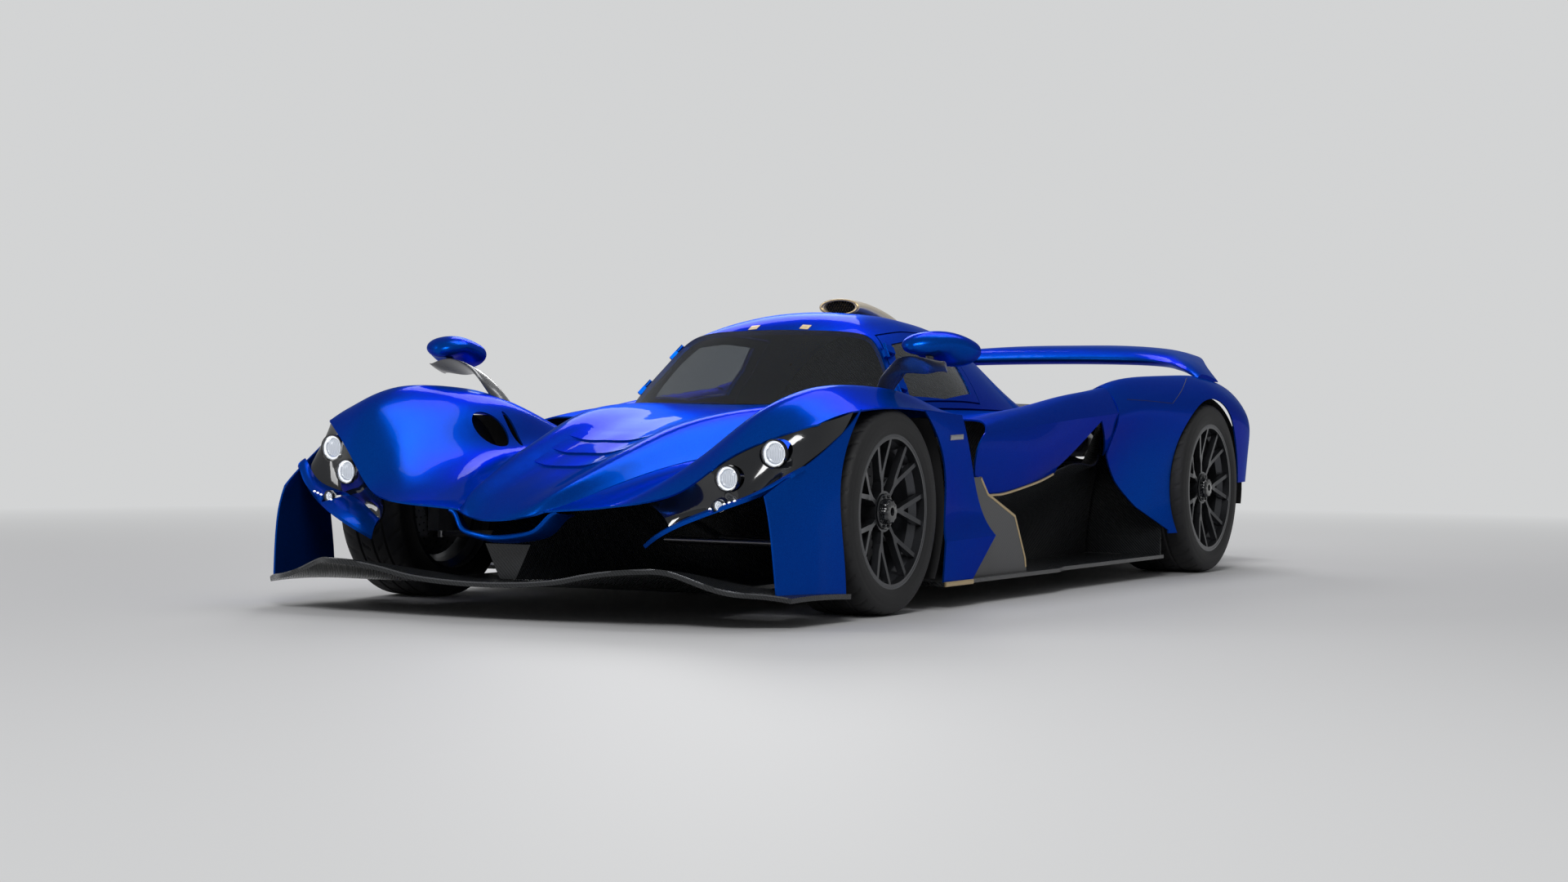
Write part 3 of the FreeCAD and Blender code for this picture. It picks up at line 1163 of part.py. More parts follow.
def door_prism(outline, grow, skin_face):
    """A prism along the way the left door first moves, over an outline that is grown all round."""
    low, high, out = hinge_line(skin_face)
    way = (low - high).cross(V(0, 1, 0)).normalize()
    corners = [on_skin(place, skin_face) for place in outline]
    flat = [corner - way * corner.dot(way) for corner in corners]
    face = Part.Face(Part.makePolygon(flat + flat[:1]))
    if grow:
        face = Part.Face(face.makeOffset2D(grow, join=2).Wires[0])
    near = min(corner.dot(way) for corner in corners) - deep_cut / 2
    return moved(face, way * near).extrude(way * deep_cut)


def build_door(shell, glass, skin_face, hinges):
    """Door panel with its window cut and hinge halves, and the window glass in it."""
    panel = shell.common(door_prism(door_shares, 0, skin_face))
    door = panel.cut(door_prism(window_shares, 0, skin_face)).multiFuse(hinges)
    window = glass.common(door_prism(window_shares, -seat_gap, skin_face))
    return door, window


def build_seats():
    """Two bucket shells with raised sides, from the knee edge to the head, each on its base."""
    shells = []
    tub_floor = floor_top + tub_wall + 2 * seat_gap
    for side in (1, -1):
        rows = []
        for y, z, lift in seat_shares:
            row = []
            for across_share, up_share in seat_section_shares:
                place = at(0, y, z)
                normal = V(0, -math.sin(math.radians(lift)), math.cos(math.radians(lift)))
                row.append(place + V(side * seat_centre_x + across_share * seat_half_width, 0, 0)
                           + normal * (up_share * seat_half_width))
            rows.append(row)
        lowest = min(row[len(row) // 2].z for row in rows) - seat_wall / 2
        middle = at(0, seat_base_share, 0).y
        base = Part.makeBox(seat_base_width, seat_base_length, lowest - tub_floor, V(
            side * seat_centre_x - seat_base_width / 2, middle - seat_base_length / 2, tub_floor))
        shells.append(skin(rows, seat_wall).fuse(base))
    return Part.makeCompound(shells)


def column_way():
    tilt = math.radians(yoke_tilt)
    return V(0, -math.cos(tilt), -math.sin(tilt))


def build_dashboard(tub):
    """The shelf below the screen, rolled over at the rear, with the steering column's collar."""
    rows = [[at(x, y + bow * x * x, z) for x in dash_width_shares] for y, z, bow in dash_shares]
    shelf = trimmed(skin(across(rows), seat_wall), tub, V(0, 0, 1))
    start = at(*yoke_shares) + column_way() * collar_start
    collar = Part.makeCylinder(column_radius + collar_wall, collar_length, start, column_way())
    bore = Part.makeCylinder(column_radius + bearing_gap, 2 * column_length, at(*yoke_shares), column_way())
    return main_solid(shelf.fuse(collar).cut(bore))


def build_yoke():
    """Flat-bottomed steering yoke with its column."""
    centre = at(*yoke_shares)
    half = yoke_width / 2
    top = yoke_height / 2
    feet = []
    grips = []
    for side in (-1, 1):
        corner = V(side * half, 0, -top)
        upper = V(side * half * yoke_top_shares[0], 0, top * yoke_top_shares[1])
        foot = V(side * half * yoke_foot_shares[0], 0, -top * yoke_foot_shares[1])
        feet.append(foot)
        grips += [rod(corner, upper, yoke_rod), rod(corner, foot, yoke_rod)]
        grips += [Part.makeSphere(yoke_rod, place) for place in (corner, upper)]
        grips.append(rod(V(side * half * yoke_spoke_share, 0, 0), V(0, 0, 0), yoke_rod))
    pad = block(V(0, 0, -yoke_rod), V(half, 2 * yoke_rod, yoke_height * yoke_pad_share))
    lower = rod(*feet, yoke_rod)
    column = rod(V(0, 0, 0), V(0, -column_length, 0), column_radius)
    wheel = pad.multiFuse(grips + [lower, column]).removeSplitter()
    wheel.rotate(V(0, 0, 0), V(1, 0, 0), yoke_tilt)
    wheel.translate(centre)
    return wheel


def fascia_grid(deck_net):
    """The fascia's net, hung from just below the deck's rear edge."""
    half = net(fascia_shares)
    for j in range(hung_columns):
        half[0][j] = deck_net[-1][j] - V(0, 0, body_wall + seat_gap)
    return across(half)


def build_fascia(grid):
    """Rear closing panel between the fenders, open for the exhaust."""
    panel = skin(grid, body_wall)
    centre = at(*exhaust_shares)
    hole = Part.makeCylinder(exhaust_radius + door_gap, exhaust_length, centre - V(0, exhaust_length / 2, 0),
                             V(0, 1, 0))
    return panel.cut(hole)


def many_sided(centre, radius):
    """An upright face across the car with equal sides, one of them level at the foot."""
    turn = 2 * math.pi / exhaust_sides
    ring = [centre + V(math.cos((k + 1 / 2) * turn), 0, math.sin((k + 1 / 2) * turn)) * radius
            for k in range(exhaust_sides)]
    return Part.Face(Part.makePolygon(ring + ring[:1]))


def build_exhaust(power):
    """Eight-sided outlet on a round pipe that comes from the engine."""
    mouth = at(*exhaust_shares) + V(0, exhaust_length / 2, 0)
    shell = many_sided(mouth, exhaust_radius).extrude(V(0, -exhaust_length, 0))
    bore = many_sided(mouth, exhaust_radius - exhaust_wall).extrude(V(0, exhaust_wall - exhaust_length, 0))
    engine_rear = at(0, tub_stations[-1][0], 0).y + seat_gap + engine_length
    joint = mouth - V(0, exhaust_length, 0)
    low = V(0, engine_rear, floor_top + engine_height - exhaust_radius * pipe_drop_share)
    pipe = rod(V(0, joint.y, joint.z), low, exhaust_radius * pipe_radius_share)
    return trimmed(shell.fuse(pipe).cut(bore), power, V(0, 1, 0))


def save_both(name, left):
    save(name + "_left", left)
    save(name + "_right", mirrored(left))


def save_all():
    os.makedirs("parts", exist_ok=True)
    hood = build_hood()
    fender = build_front_fender()
    save("nose", Part.makeCompound([hood, build_chin([fender, mirrored(fender)])]))
    save_both("front_fender", fender)
    splitter_net = net(splitter_shares)
    splitter_net[-1] = [V(p.x, p.y, floor_top) for p in splitter_net[-1]]
    splitter = skin(across(splitter_net), splitter_wall)
    save("splitter", splitter)
    floor = build_floor()
    save("floor", floor)
    save("diffuser", build_diffuser(floor))

    pod_net = net(sidepod_shares)
    pod = skin(pod_net, body_wall, crease_columns=(4,))
    intake = prism_side(intake_shares, pod_cut_share * half_width, half_width * 2)
    pod = main_solid(pod.cut(intake))
    save_both("sidepod", pod)
    rear_net = net(rear_fender_shares)
    rear_fender = skin(rear_net, body_wall)
    tail_cut = prism_side(fender_tail_shares, pod_cut_share * half_width, half_width * 2)
    rear_fender = rear_fender.cut([intake, tail_cut])
    arch = Part.makeCylinder(rear_tyre_radius + arch_gap, half_width,
                             V(rear_wheel_x - rear_tyre_width / 2 - arch_gap, rear_axle_y, rear_tyre_radius),
                             V(1, 0, 0))
    rear_fender = trimmed(rear_fender.cut(arch), pod, V(0, 1, 0))
    save_both("rear_fender", rear_fender)

    cheek = build_cheek(fender, splitter)
    blade = build_blade(cheek)
    deck_net = net(deck_shares)
    rear_panel = fascia_grid(deck_net)
    tail_lamp = skin(laid_on(rear_panel, tail_lamp_rows, tail_lamp_columns, -seat_gap), -tail_lamp_wall)
    mirror_head = build_mirror_head()
    pairs = {
        "front_side_panels": [cheek, build_flare(fender), blade],
        "lamp_pods": [build_lamp_pod(fender, blade, cheek)],
        "headlamps": [build_lamp(main_lamp_shares, main_lamp_radius),
                      build_lamp(low_lamp_shares, low_lamp_radius),
                      build_lamp(fog_lamp_shares, fog_lamp_radius)],
        "side_ducts": [build_side_duct(pod_net), build_liner()],
        "tail_lamps": [tail_lamp],
        "mirrors": [mirror_head],
        "mirror_arms": [build_mirror_arm(fender_net, mirror_head)],
    }
    for name, solids in pairs.items():
        save(name, Part.makeCompound(solids + [mirrored(solid) for solid in solids]))

    deck = skin(across(deck_net), body_wall)
    for seat in (rear_fender, mirrored(rear_fender)):
        deck = trimmed(deck, seat, V(0, 0, -1))
    save("engine_cover", deck)
    save("rear_fascia", build_fascia(rear_panel))
    save("rear_wing", build_wing(rear_net))

    canopy_net = across(net(canopy_shares))
    tub = build_tub()
    save("tub", tub.fuse(build_bulkhead(canopy_net)).removeSplitter())
    save("windscreen", skin(across(net(screen_shares)), glass_wall))
    skin_face = surface_through(canopy_net).toShape()
    canopy_shell = skin(canopy_net, canopy_wall)
    glass_shell = skin(offset_net(canopy_net, glass_inset), glass_wall)
    pillar_hinges, door_hinges = build_hinges(skin_face)
    opening = door_prism(door_shares, door_gap, skin_face)
    save("canopy", build_canopy(canopy_shell, opening, pillar_hinges, (pod, mirrored(pod), deck)))
    door, window = build_door(canopy_shell, glass_shell, skin_face, door_hinges)
    save_both("door", door)
    save_both("window", window)
    save("roof_scoop", build_scoop(canopy_net))
    save("seats", build_seats())
    save("dashboard", build_dashboard(tub))
    save("steering_wheel", build_yoke())
    power = build_powertrain()
    save("powertrain", power)
    save("exhaust", build_exhaust(power))

    front_pin = V(kingpin_x, front_axle_y, front_tyre_radius)
    arms = build_arms(front_pin, arm_root_share * half_width, arm_rise, tub_loft(0, 0))
    save("front_suspension", Part.makeCompound(arms + [mirrored(arm) for arm in arms]))
    knuckle = build_upright(V(front_wheel_x, front_axle_y, front_tyre_radius), kingpin_offset,
                            disc_radius_front, hub_front_at(front_tyre_width))
    save_both("upright", knuckle)
    rear_centre = V(rear_wheel_x, rear_axle_y, rear_tyre_radius)
    rear_knuckle = build_upright(rear_centre, rear_pin_offset, disc_radius_rear,
                                 hub_front_at(rear_tyre_width))
    rear_arms = build_arms(rear_centre - V(rear_pin_offset, 0, 0), 0, rear_arm_rise, power)
    shaft = rod(rear_centre - V(rear_pin_offset, 0, 0), V(0, rear_axle_y, rear_tyre_radius),
                driveshaft_radius).cut(power)
    rear_side = rear_knuckle.multiFuse(rear_arms + [shaft]).removeSplitter()
    save("rear_suspension", Part.makeCompound([rear_side, mirrored(rear_side)]))
    for name, solid in build_wheels().items():
        save_both(name, solid)


save_all()
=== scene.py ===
import bpy
import bmesh
import json
import math
import numpy as np
from mathutils import Matrix, Vector


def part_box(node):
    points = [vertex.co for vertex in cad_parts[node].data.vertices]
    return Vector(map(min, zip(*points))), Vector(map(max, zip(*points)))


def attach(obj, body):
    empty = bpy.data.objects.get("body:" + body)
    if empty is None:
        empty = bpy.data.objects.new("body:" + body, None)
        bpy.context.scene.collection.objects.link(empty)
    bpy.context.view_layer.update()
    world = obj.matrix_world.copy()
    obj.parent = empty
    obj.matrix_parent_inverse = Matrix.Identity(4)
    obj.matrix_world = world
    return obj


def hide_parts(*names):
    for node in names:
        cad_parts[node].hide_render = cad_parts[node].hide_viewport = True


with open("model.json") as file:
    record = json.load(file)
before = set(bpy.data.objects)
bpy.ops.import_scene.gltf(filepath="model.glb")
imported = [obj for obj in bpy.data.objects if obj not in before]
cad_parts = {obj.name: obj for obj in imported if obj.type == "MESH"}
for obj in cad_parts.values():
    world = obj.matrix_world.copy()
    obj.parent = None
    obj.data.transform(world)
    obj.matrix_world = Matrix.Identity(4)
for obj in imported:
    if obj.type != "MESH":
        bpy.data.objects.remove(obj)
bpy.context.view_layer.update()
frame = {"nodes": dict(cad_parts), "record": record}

FRONT_AXLE = -1.698
REAR_AXLE = 1.252
FLOOR_TOP = 0.0893
WHEELBASE = 2.95
HEIGHT = 1.093


# Materials

TOWS_PER_METRE = 330.0
FLUTES_PER_METRE = 180.0
DISC_HOLE_ROWS = 24.0


class Signal:
    """A number, vector or colour on a node's socket; arithmetic on it adds math nodes."""

    def __init__(self, tree, socket):
        self.tree = tree
        self.socket = socket

    def node(self, kind, inputs, output=0, **settings):
        """Adds a node, fills its inputs by index or name, and gives one of its outputs."""
        made = self.tree.nodes.new(kind)
        for name, value in settings.items():
            setattr(made, name, value)
        for key, value in inputs.items():
            if isinstance(value, Signal):
                self.tree.links.new(value.socket, made.inputs[key])
            else:
                made.inputs[key].default_value = value
        return Signal(self.tree, made.outputs[output])

    def math(self, operation, *others):
        inputs = {0: self}
        inputs.update({i + 1: other for i, other in enumerate(others)})
        return self.node("ShaderNodeMath", inputs, operation=operation)

    def __add__(self, other):
        return self.math("ADD", other)

    __radd__ = __add__

    def __sub__(self, other):
        return self.math("SUBTRACT", other)

    def __rsub__(self, other):
        return self.node("ShaderNodeMath", {0: other, 1: self}, operation="SUBTRACT")

    def __mul__(self, other):
        return self.math("MULTIPLY", other)

    __rmul__ = __mul__

    def wave(self):
        """Triangle wave of period one, from nought to one."""
        return self.math("PINGPONG", 0.5) * 2.0

    def step(self, edge):
        return self.math("GREATER_THAN", edge)

    def between(self, low, high):
        """Nought at low, one at high, clamped outside them."""
        return self.node("ShaderNodeMapRange", {0: self, 1: low, 2: high, 3: 0.0, 4: 1.0})

    def scaled(self, way):
        return self.node("ShaderNodeVectorMath", {0: self, 1: way}, operation="MULTIPLY")

    def noise(self, scale, detail=2.0):
        return self.node("ShaderNodeTexNoise", {"Vector": self, "Scale": scale, "Detail": detail})

    def axis(self, which):
        return self.node("ShaderNodeSeparateXYZ", {0: self}, output="XYZ".index(which))

    def blend(self, low, high):
        """A colour between two colours, by this signal."""
        ends = [end if isinstance(end, Signal) else (*end[:3], 1.0) for end in (low, high)]
        return self.node("ShaderNodeMix", {0: self, 6: ends[0], 7: ends[1]}, output=2, data_type="RGBA")

    def bump(self, distance, strength=1.0):
        return self.node("ShaderNodeBump", {"Height": self, "Distance": distance, "Strength": strength})


def material(name, colour, roughness=0.5, metallic=0.0, paint=None, **fixed):
    """A Principled material; paint(place) may return signals for sockets that vary over the surface."""
    made = bpy.data.materials.new(name)
    made.use_nodes = True
    shader = made.node_tree.nodes["Principled BSDF"]
    shader.inputs["Base Color"].default_value = (*colour, 1.0)
    shader.inputs["Roughness"].default_value = roughness
    shader.inputs["Metallic"].default_value = metallic
    for key, value in fixed.items():
        shader.inputs[key.replace("_", " ")].default_value = value
    made.diffuse_color = (*colour, 1.0)
    if paint:
        place = made.node_tree.nodes.new("ShaderNodeTexCoord")
        for key, signal in paint(Signal(made.node_tree, place.outputs["Object"])).items():
            made.node_tree.links.new(signal.socket, shader.inputs[key])
    return made


def flake_paint(deep, bright, rough=0.24):
    """Metallic lacquer: fine flakes vary the base under a clear coat with a faint orange peel."""
    def paint(place):
        flakes = place.noise(900.0, 1.0).between(0.42, 0.62)
        peel = place.noise(60.0, 1.0).bump(0.0003, 0.2)
        return {"Base Color": flakes.blend(deep, bright),
                "Roughness": place.noise(9.0).between(0.2, 0.9) * 0.06 + rough, "Normal": peel}
    return paint


def twill(place):
    """Two-by-two twill: tows of 3 mm cross, and which one is on top steps along the diagonal."""
    warp = place.axis("X") * TOWS_PER_METRE
    weft = place.axis("Y") * TOWS_PER_METRE + place.axis("Z") * TOWS_PER_METRE
    over = (warp.math("FLOOR") + weft.math("FLOOR")) * 0.25
    top = over.math("FRACT").step(0.49)
    shade = top * 0.45 + place.noise(40.0) * 0.3
    return {"Base Color": shade.blend((0.006, 0.007, 0.008), (0.030, 0.032, 0.036)),
            "Roughness": top * 0.1 + 0.24,
            "Normal": (warp.wave() * top + weft.wave() * (1.0 - top)).bump(0.0003, 0.3)}


def brushed(low, high, scale=(260.0, 8.0, 260.0), rough=0.22):
    def paint(place):
        grain = place.scaled(scale).noise(1.0, 3.0)
        return {"Base Color": grain.blend(low, high), "Roughness": grain * 0.2 + rough}
    return paint


def cast(low, high, rough=0.4):
    def paint(place):
        grain = place.noise(420.0, 3.0)
        return {"Base Color": grain.blend(low, high), "Roughness": grain * 0.2 + rough,
                "Normal": grain.bump(0.0005, 0.25)}
    return paint


def fabric(low, high):
    def paint(place):
        nap = place.noise(1400.0, 2.0)
        patch = place.noise(14.0, 3.0) * 0.5 + nap * 0.5
        return {"Base Color": patch.blend(low, high), "Normal": nap.bump(0.0006, 0.5)}
    return paint


def rubber(place):
    grain = place.noise(700.0, 2.0)
    dust = place.noise(6.0, 3.0)
    return {"Base Color": (dust * 0.6 + grain * 0.4).blend((0.005, 0.005, 0.006), (0.014, 0.014, 0.015)),
            "Roughness": grain * 0.2 + 0.55, "Normal": grain.bump(0.0005, 0.4)}


def gloss(low, high, rough=0.06):
    def paint(place):
        haze = place.noise(7.0, 3.0)
        return {"Base Color": haze.blend(low, high), "Roughness": haze * 0.08 + rough,
                "Normal": place.noise(40.0).bump(0.0002, 0.1)}
    return paint


def floor_finish(place):
    """Carbon plate, with the upright fences on it in satin grey."""
    weave = twill(place)
    fence = place.axis("Z").step(FLOOR_TOP + 0.002)
    grain = place.noise(500.0, 2.0)
    satin = grain.blend((0.040, 0.041, 0.044), (0.066, 0.067, 0.072))
    return {"Base Color": fence.blend(weave["Base Color"], satin),
            "Roughness": fence * 0.2 + weave["Roughness"], "Normal": weave["Normal"]}


def wheel_finish(face, disc_radius):
    """Satin anthracite, with the brake disc behind the spokes in bright steel with rows of drilled holes,
    which are painted near black as painted shade inside them.
    """
    def paint(place):
        across = place.axis("X").math("ABSOLUTE")
        disc = across.step(face - 0.046) * (1.0 - across.step(face - 0.006))
        y = place.axis("Y")
        along = y - y.math("GREATER_THAN", 0.0) * (REAR_AXLE - FRONT_AXLE) - FRONT_AXLE
        up = place.axis("Z") - disc_radius[1]
        reach = (along * along + up * up).math("SQRT")
        turn = up.math("ARCTAN2", along) * (DISC_HOLE_ROWS / math.tau)
        painted_hole_shade = (turn + reach * 22.0).wave().step(0.78) * (reach * 45.0).wave().step(0.72)
        band = disc * reach.step(0.072) * (1.0 - reach.step(disc_radius[0] + 0.002))
        grain = place.noise(420.0, 3.0)
        ring = (reach * 900.0).noise(1.0, 1.0)
        dark = grain.blend((0.045, 0.047, 0.053), (0.075, 0.078, 0.086))
        # the drilled holes are painted near black (0.01): painted shade inside the holes, not a colour of the
        # steel
        steel = painted_hole_shade.blend(ring.blend((0.20, 0.20, 0.205), (0.42, 0.42, 0.43)), (0.01, 0.01, 0.01))
        return {"Base Color": band.blend(dark, steel), "Roughness": grain * 0.12 + 0.28,
                "Normal": grain.bump(0.0004, 0.2)}
    return paint


BLUE = material("lacquer_blue", (0.0004, 0.06, 0.40), 0.28, 0.75,
                flake_paint((0.0002, 0.044, 0.32), (0.0008, 0.086, 0.52), 0.27),
                Coat_Weight=0.10, Coat_Roughness=0.03, Coat_IOR=1.3, Specular_IOR_Level=0.0,
                Specular_Tint=(0.01, 0.20, 0.70, 1.0))
GOLD = material("satin_gold", (0.62, 0.47, 0.25), 0.3, 0.8,
                brushed((0.50, 0.37, 0.19), (0.74, 0.58, 0.33)))
PALE_GOLD = material("pale_gold", (0.76, 0.66, 0.50), 0.3, 0.55,
                     brushed((0.66, 0.56, 0.41), (0.86, 0.77, 0.61)), Coat_Weight=0.5, Coat_Roughness=0.06)
BLACK = material("gloss_black", (0.006, 0.007, 0.009), 0.1, 0.0,
                 gloss((0.004, 0.005, 0.007), (0.009, 0.010, 0.013)), Coat_Weight=0.6, Coat_Roughness=0.03)
MATT = material("matt_black", (0.010, 0.010, 0.011), 0.7, 0.0,
                cast((0.006, 0.006, 0.007), (0.016, 0.016, 0.017), 0.6))
CARBON = material("carbon_twill", (0.03, 0.031, 0.035), 0.3, 0.1, twill,
                  Coat_Weight=0.15, Coat_Roughness=0.12)
PLATE = material("carbon_floor", (0.03, 0.031, 0.035), 0.3, 0.1, floor_finish,
                 Coat_Weight=0.3, Coat_Roughness=0.15)
GLASS = material("tinted_glass", (0.34, 0.36, 0.38), 0.0, 0.0, None, Transmission_Weight=0.97, IOR=1.22)
CLEAR = material("clear_lens", (0.97, 0.98, 1.0), 0.0, 0.0, None, Transmission_Weight=1.0, IOR=1.4)
GLOW = material("lamp_light", (0.30, 0.31, 0.32), 0.3, 0.0, None, Emission_Color=(0.96, 0.98, 1.0, 1.0),
                Emission_Strength=0.95)
CHROME = material("bright_chrome", (0.75, 0.76, 0.78), 0.08, 1.0,
                  brushed((0.66, 0.67, 0.69), (0.85, 0.86, 0.88), rough=0.02))
RED = material("red_lens", (0.30, 0.006, 0.008), 0.12, 0.0,
               gloss((0.24, 0.004, 0.006), (0.36, 0.010, 0.012)), Coat_Weight=0.6)
RED_GLOW = material("red_light", (0.8, 0.02, 0.02), 0.3, 0.0, None, Emission_Color=(1.0, 0.03, 0.02, 1.0),
                    Emission_Strength=0.9)
NAP = material("grey_suede", (0.14, 0.14, 0.145), 0.95, 0.0,
               fabric((0.07, 0.07, 0.074), (0.20, 0.20, 0.205)), Sheen_Weight=0.4)
CAST = material("cast_alloy", (0.30, 0.31, 0.33), 0.5, 0.8, cast((0.20, 0.21, 0.22), (0.40, 0.41, 0.43)))
STEEL = material("brushed_steel", (0.4, 0.4, 0.41), 0.35, 0.9,
                 brushed((0.30, 0.30, 0.31), (0.52, 0.52, 0.53)))
RUBBER = material("tyre_rubber", (0.02, 0.02, 0.021), 0.65, 0.0, rubber)
RIM_FRONT = material("anthracite_front", (0.06, 0.062, 0.07), 0.3, 0.85, wheel_finish(0.8555, (0.19, 0.334)),
                     Coat_Weight=0.4, Coat_Roughness=0.15)
RIM_REAR = material("anthracite_rear", (0.06, 0.062, 0.07), 0.3, 0.85, wheel_finish(0.8475, (0.19, 0.3515)),
                    Coat_Weight=0.4, Coat_Roughness=0.15)
GREY = material("satin_grey", (0.085, 0.088, 0.095), 0.3, 0.5,
                flake_paint((0.06, 0.062, 0.068), (0.11, 0.114, 0.122)),
                Coat_Weight=0.5, Coat_Roughness=0.08)
CHROME_DARK = material("dark_chrome", (0.12, 0.12, 0.13), 0.25, 0.8,
                       brushed((0.08, 0.082, 0.088), (0.16, 0.165, 0.175), rough=0.16))
THREAD = material("pale_thread", (0.55, 0.55, 0.56), 0.7, 0.0,
                  fabric((0.42, 0.42, 0.43), (0.68, 0.68, 0.69)))
MIRROR = material("mirror_glass", (0.62, 0.66, 0.70), 0.02, 1.0,
                  gloss((0.58, 0.62, 0.66), (0.66, 0.70, 0.74), 0.0))

FINISH = {"paint_blue": BLUE, "paint_gold": PALE_GOLD, "gloss_black": BLACK, "carbon": CARBON,
          "glass": GLASS, "lamp_glass": GLOW, "lamp_red": RED, "alcantara": NAP, "cast_metal": CAST,
          "steel": STEEL, "tyre": RUBBER, "wheel_metal": RIM_FRONT, "paint_grey": GREY}
OWN_FINISH = {"floor": PLATE, "engine_cover": CARBON, "rim_rear_left": RIM_REAR, "rim_rear_right": RIM_REAR}
for part in frame["record"]["subparts"]:
    mesh = frame["nodes"][part["node"]].data
    mesh.materials.clear()
    mesh.materials.append(OWN_FINISH.get(part["node"], FINISH[part["material_slot"]]))


# Shapes

def quads(rows, columns, wrap_rows=False, wrap_columns=False):
    """Quads between the points of a grid, by index arithmetic; a wrapped way joins its end to its start."""
    row, column = np.meshgrid(np.arange(rows if wrap_rows else rows - 1),
                              np.arange(columns if wrap_columns else columns - 1), indexing="ij")
    row, column = row.ravel(), column.ravel()
    below, beside = (row + 1) % rows, (column + 1) % columns
    return np.stack([row * columns + column, below * columns + column, below * columns + beside,
                     row * columns + beside], 1)


def joined(shapes):
    """One shape from several: their points in a row, and each one's faces moved on to its own points."""
    starts = np.cumsum([0] + [len(points) for points, faces in shapes])
    return (np.concatenate([points for points, faces in shapes]),
            np.concatenate([faces + start for (points, faces), start in zip(shapes, starts)]))


def mirrored(shape):
    """The shape on the other side: X negated, and each face wound the other way."""
    points, faces = shape
    return points * (-1, 1, 1), faces[:, ::-1]


def slab(grid, normals, height, depth=0.0):
    """A closed sheet: the grid raised along its normals, the grid sunk along them, and a rim of quads."""
    rows, columns = grid.shape[:2]
    top = (grid + normals * height).reshape(-1, 3)
    foot = (grid - normals * depth).reshape(-1, 3)
    index = np.arange(rows * columns).reshape(rows, columns)
    rim = np.concatenate([index[0], index[1:, -1], index[-1, -2::-1], index[-2:0:-1, 0]])
    after = np.roll(rim, -1)
    count = rows * columns
    sides = np.stack([rim, after, after + count, rim + count], 1)
    cap = quads(rows, columns)
    return np.concatenate([top, foot]), np.concatenate([cap, cap[:, ::-1] + count, sides])


def grid_normals(grid, outward):
    """Unit normals: the cross product of the grid's two gradients, turned to the outward side."""
    normals = np.cross(np.gradient(grid, axis=0), np.gradient(grid, axis=1))
    normals /= np.linalg.norm(normals, axis=2, keepdims=True)
    return normals * np.where((normals * outward).sum(2, keepdims=True) < 0, -1.0, 1.0)


def swept(path, profile, up, closed=False):
    """A closed section carried along a path: side is tangent cross up, and section (a, b) goes to
    path + a side + b (side cross tangent). An open path's ends are closed on their middles."""
    path = np.asarray(path, float)
    around = np.roll(path, -1, 0) - np.roll(path, 1, 0) if closed else np.gradient(path, axis=0)
    tangent = around / np.linalg.norm(around, axis=1, keepdims=True)
    side = np.cross(tangent, np.broadcast_to(up, path.shape))
    side /= np.linalg.norm(side, axis=1, keepdims=True)
    rise = np.cross(side, tangent)
    profile = np.asarray(profile, float)
    rings = path[:, None] + side[:, None] * profile[:, :1] + rise[:, None] * profile[:, 1:]
    if not closed:
        middles = rings.mean(1, keepdims=True)
        rings = np.concatenate([np.broadcast_to(middles[:1], rings[:1].shape), rings,
                                np.broadcast_to(middles[-1:], rings[:1].shape)])
    return rings.reshape(-1, 3), quads(len(rings), len(profile), closed, True)


def turned(profile, centre, way, count=48, wrap=False):
    """A profile of (place along the way, radius) turned about a line through the centre."""
    way = np.asarray(way, float)
    first = np.cross(way, (0, 0, 1)) if abs(way[2]) < 0.9 else np.array((1.0, 0, 0))
    first /= np.linalg.norm(first)
    second = np.cross(way, first)
    angle = np.linspace(0, math.tau, count, endpoint=False)
    round_way = np.cos(angle)[:, None] * first + np.sin(angle)[:, None] * second
    profile = np.asarray(profile, float)
    points = centre + profile[:, None, :1] * way + profile[:, None, 1:] * round_way
    return points.reshape(-1, 3), quads(len(profile), count, wrap, True)


def smooth_path(corners, count):
    """Evenly spread points on a curve through the corners: a cubic between each two of them, whose slope at
    a corner is half the step from the corner before it to the one after."""
    corners = np.asarray(corners, float)
    padded = np.concatenate([2 * corners[:1] - corners[1:2], corners, 2 * corners[-1:] - corners[-2:-1]])
    place = np.linspace(0, len(corners) - 1 - 1e-9, count)
    start = place.astype(int)
    t = (place - start)[:, None]
    a, b, c, d = (padded[start + k] for k in range(4))
    square = (2 * a - 5 * b + 4 * c - d) * t ** 2
    cube = (3 * b - a - 3 * c + d) * t ** 3
    return 0.5 * (2 * b + (c - a) * t + square + cube)


def laid_on(points, node, way):
    """The points moved along an axis, from outside, onto the outer face of a CAD node."""
    axis, sign = "XYZ".index(way[1]), 1 if way[0] == "+" else -1
    start = np.array(points, float)
    start[..., axis] = 4.0 * sign
    mesh = bpy.data.meshes.new("probe")
    mesh.from_pydata(start.reshape(-1, 3), [], [])
    probe = bpy.data.objects.new("probe", mesh)
    bpy.context.collection.objects.link(probe)
    wrap = probe.modifiers.new("wrap", "SHRINKWRAP")
    wrap.target = frame["nodes"][node]
    wrap.wrap_method = "PROJECT"
    wrap.use_project_x, wrap.use_project_y, wrap.use_project_z = (axis == k for k in range(3))
    wrap.use_positive_direction = sign < 0
    wrap.use_negative_direction = sign > 0
    found = probe.evaluated_get(bpy.context.evaluated_depsgraph_get()).data
    flat = np.empty(len(found.vertices) * 3)
    found.vertices.foreach_get("co", flat)
    bpy.data.objects.remove(probe)
    bpy.data.meshes.remove(mesh)
    landed = flat.reshape(start.shape)
    missed = np.abs(landed[..., axis] - start[..., axis]) < 1e-6
    if missed.any():
        print("laid_on", node, "missed", int(missed.sum()), "of", missed.size, start[missed][:3])
    return landed


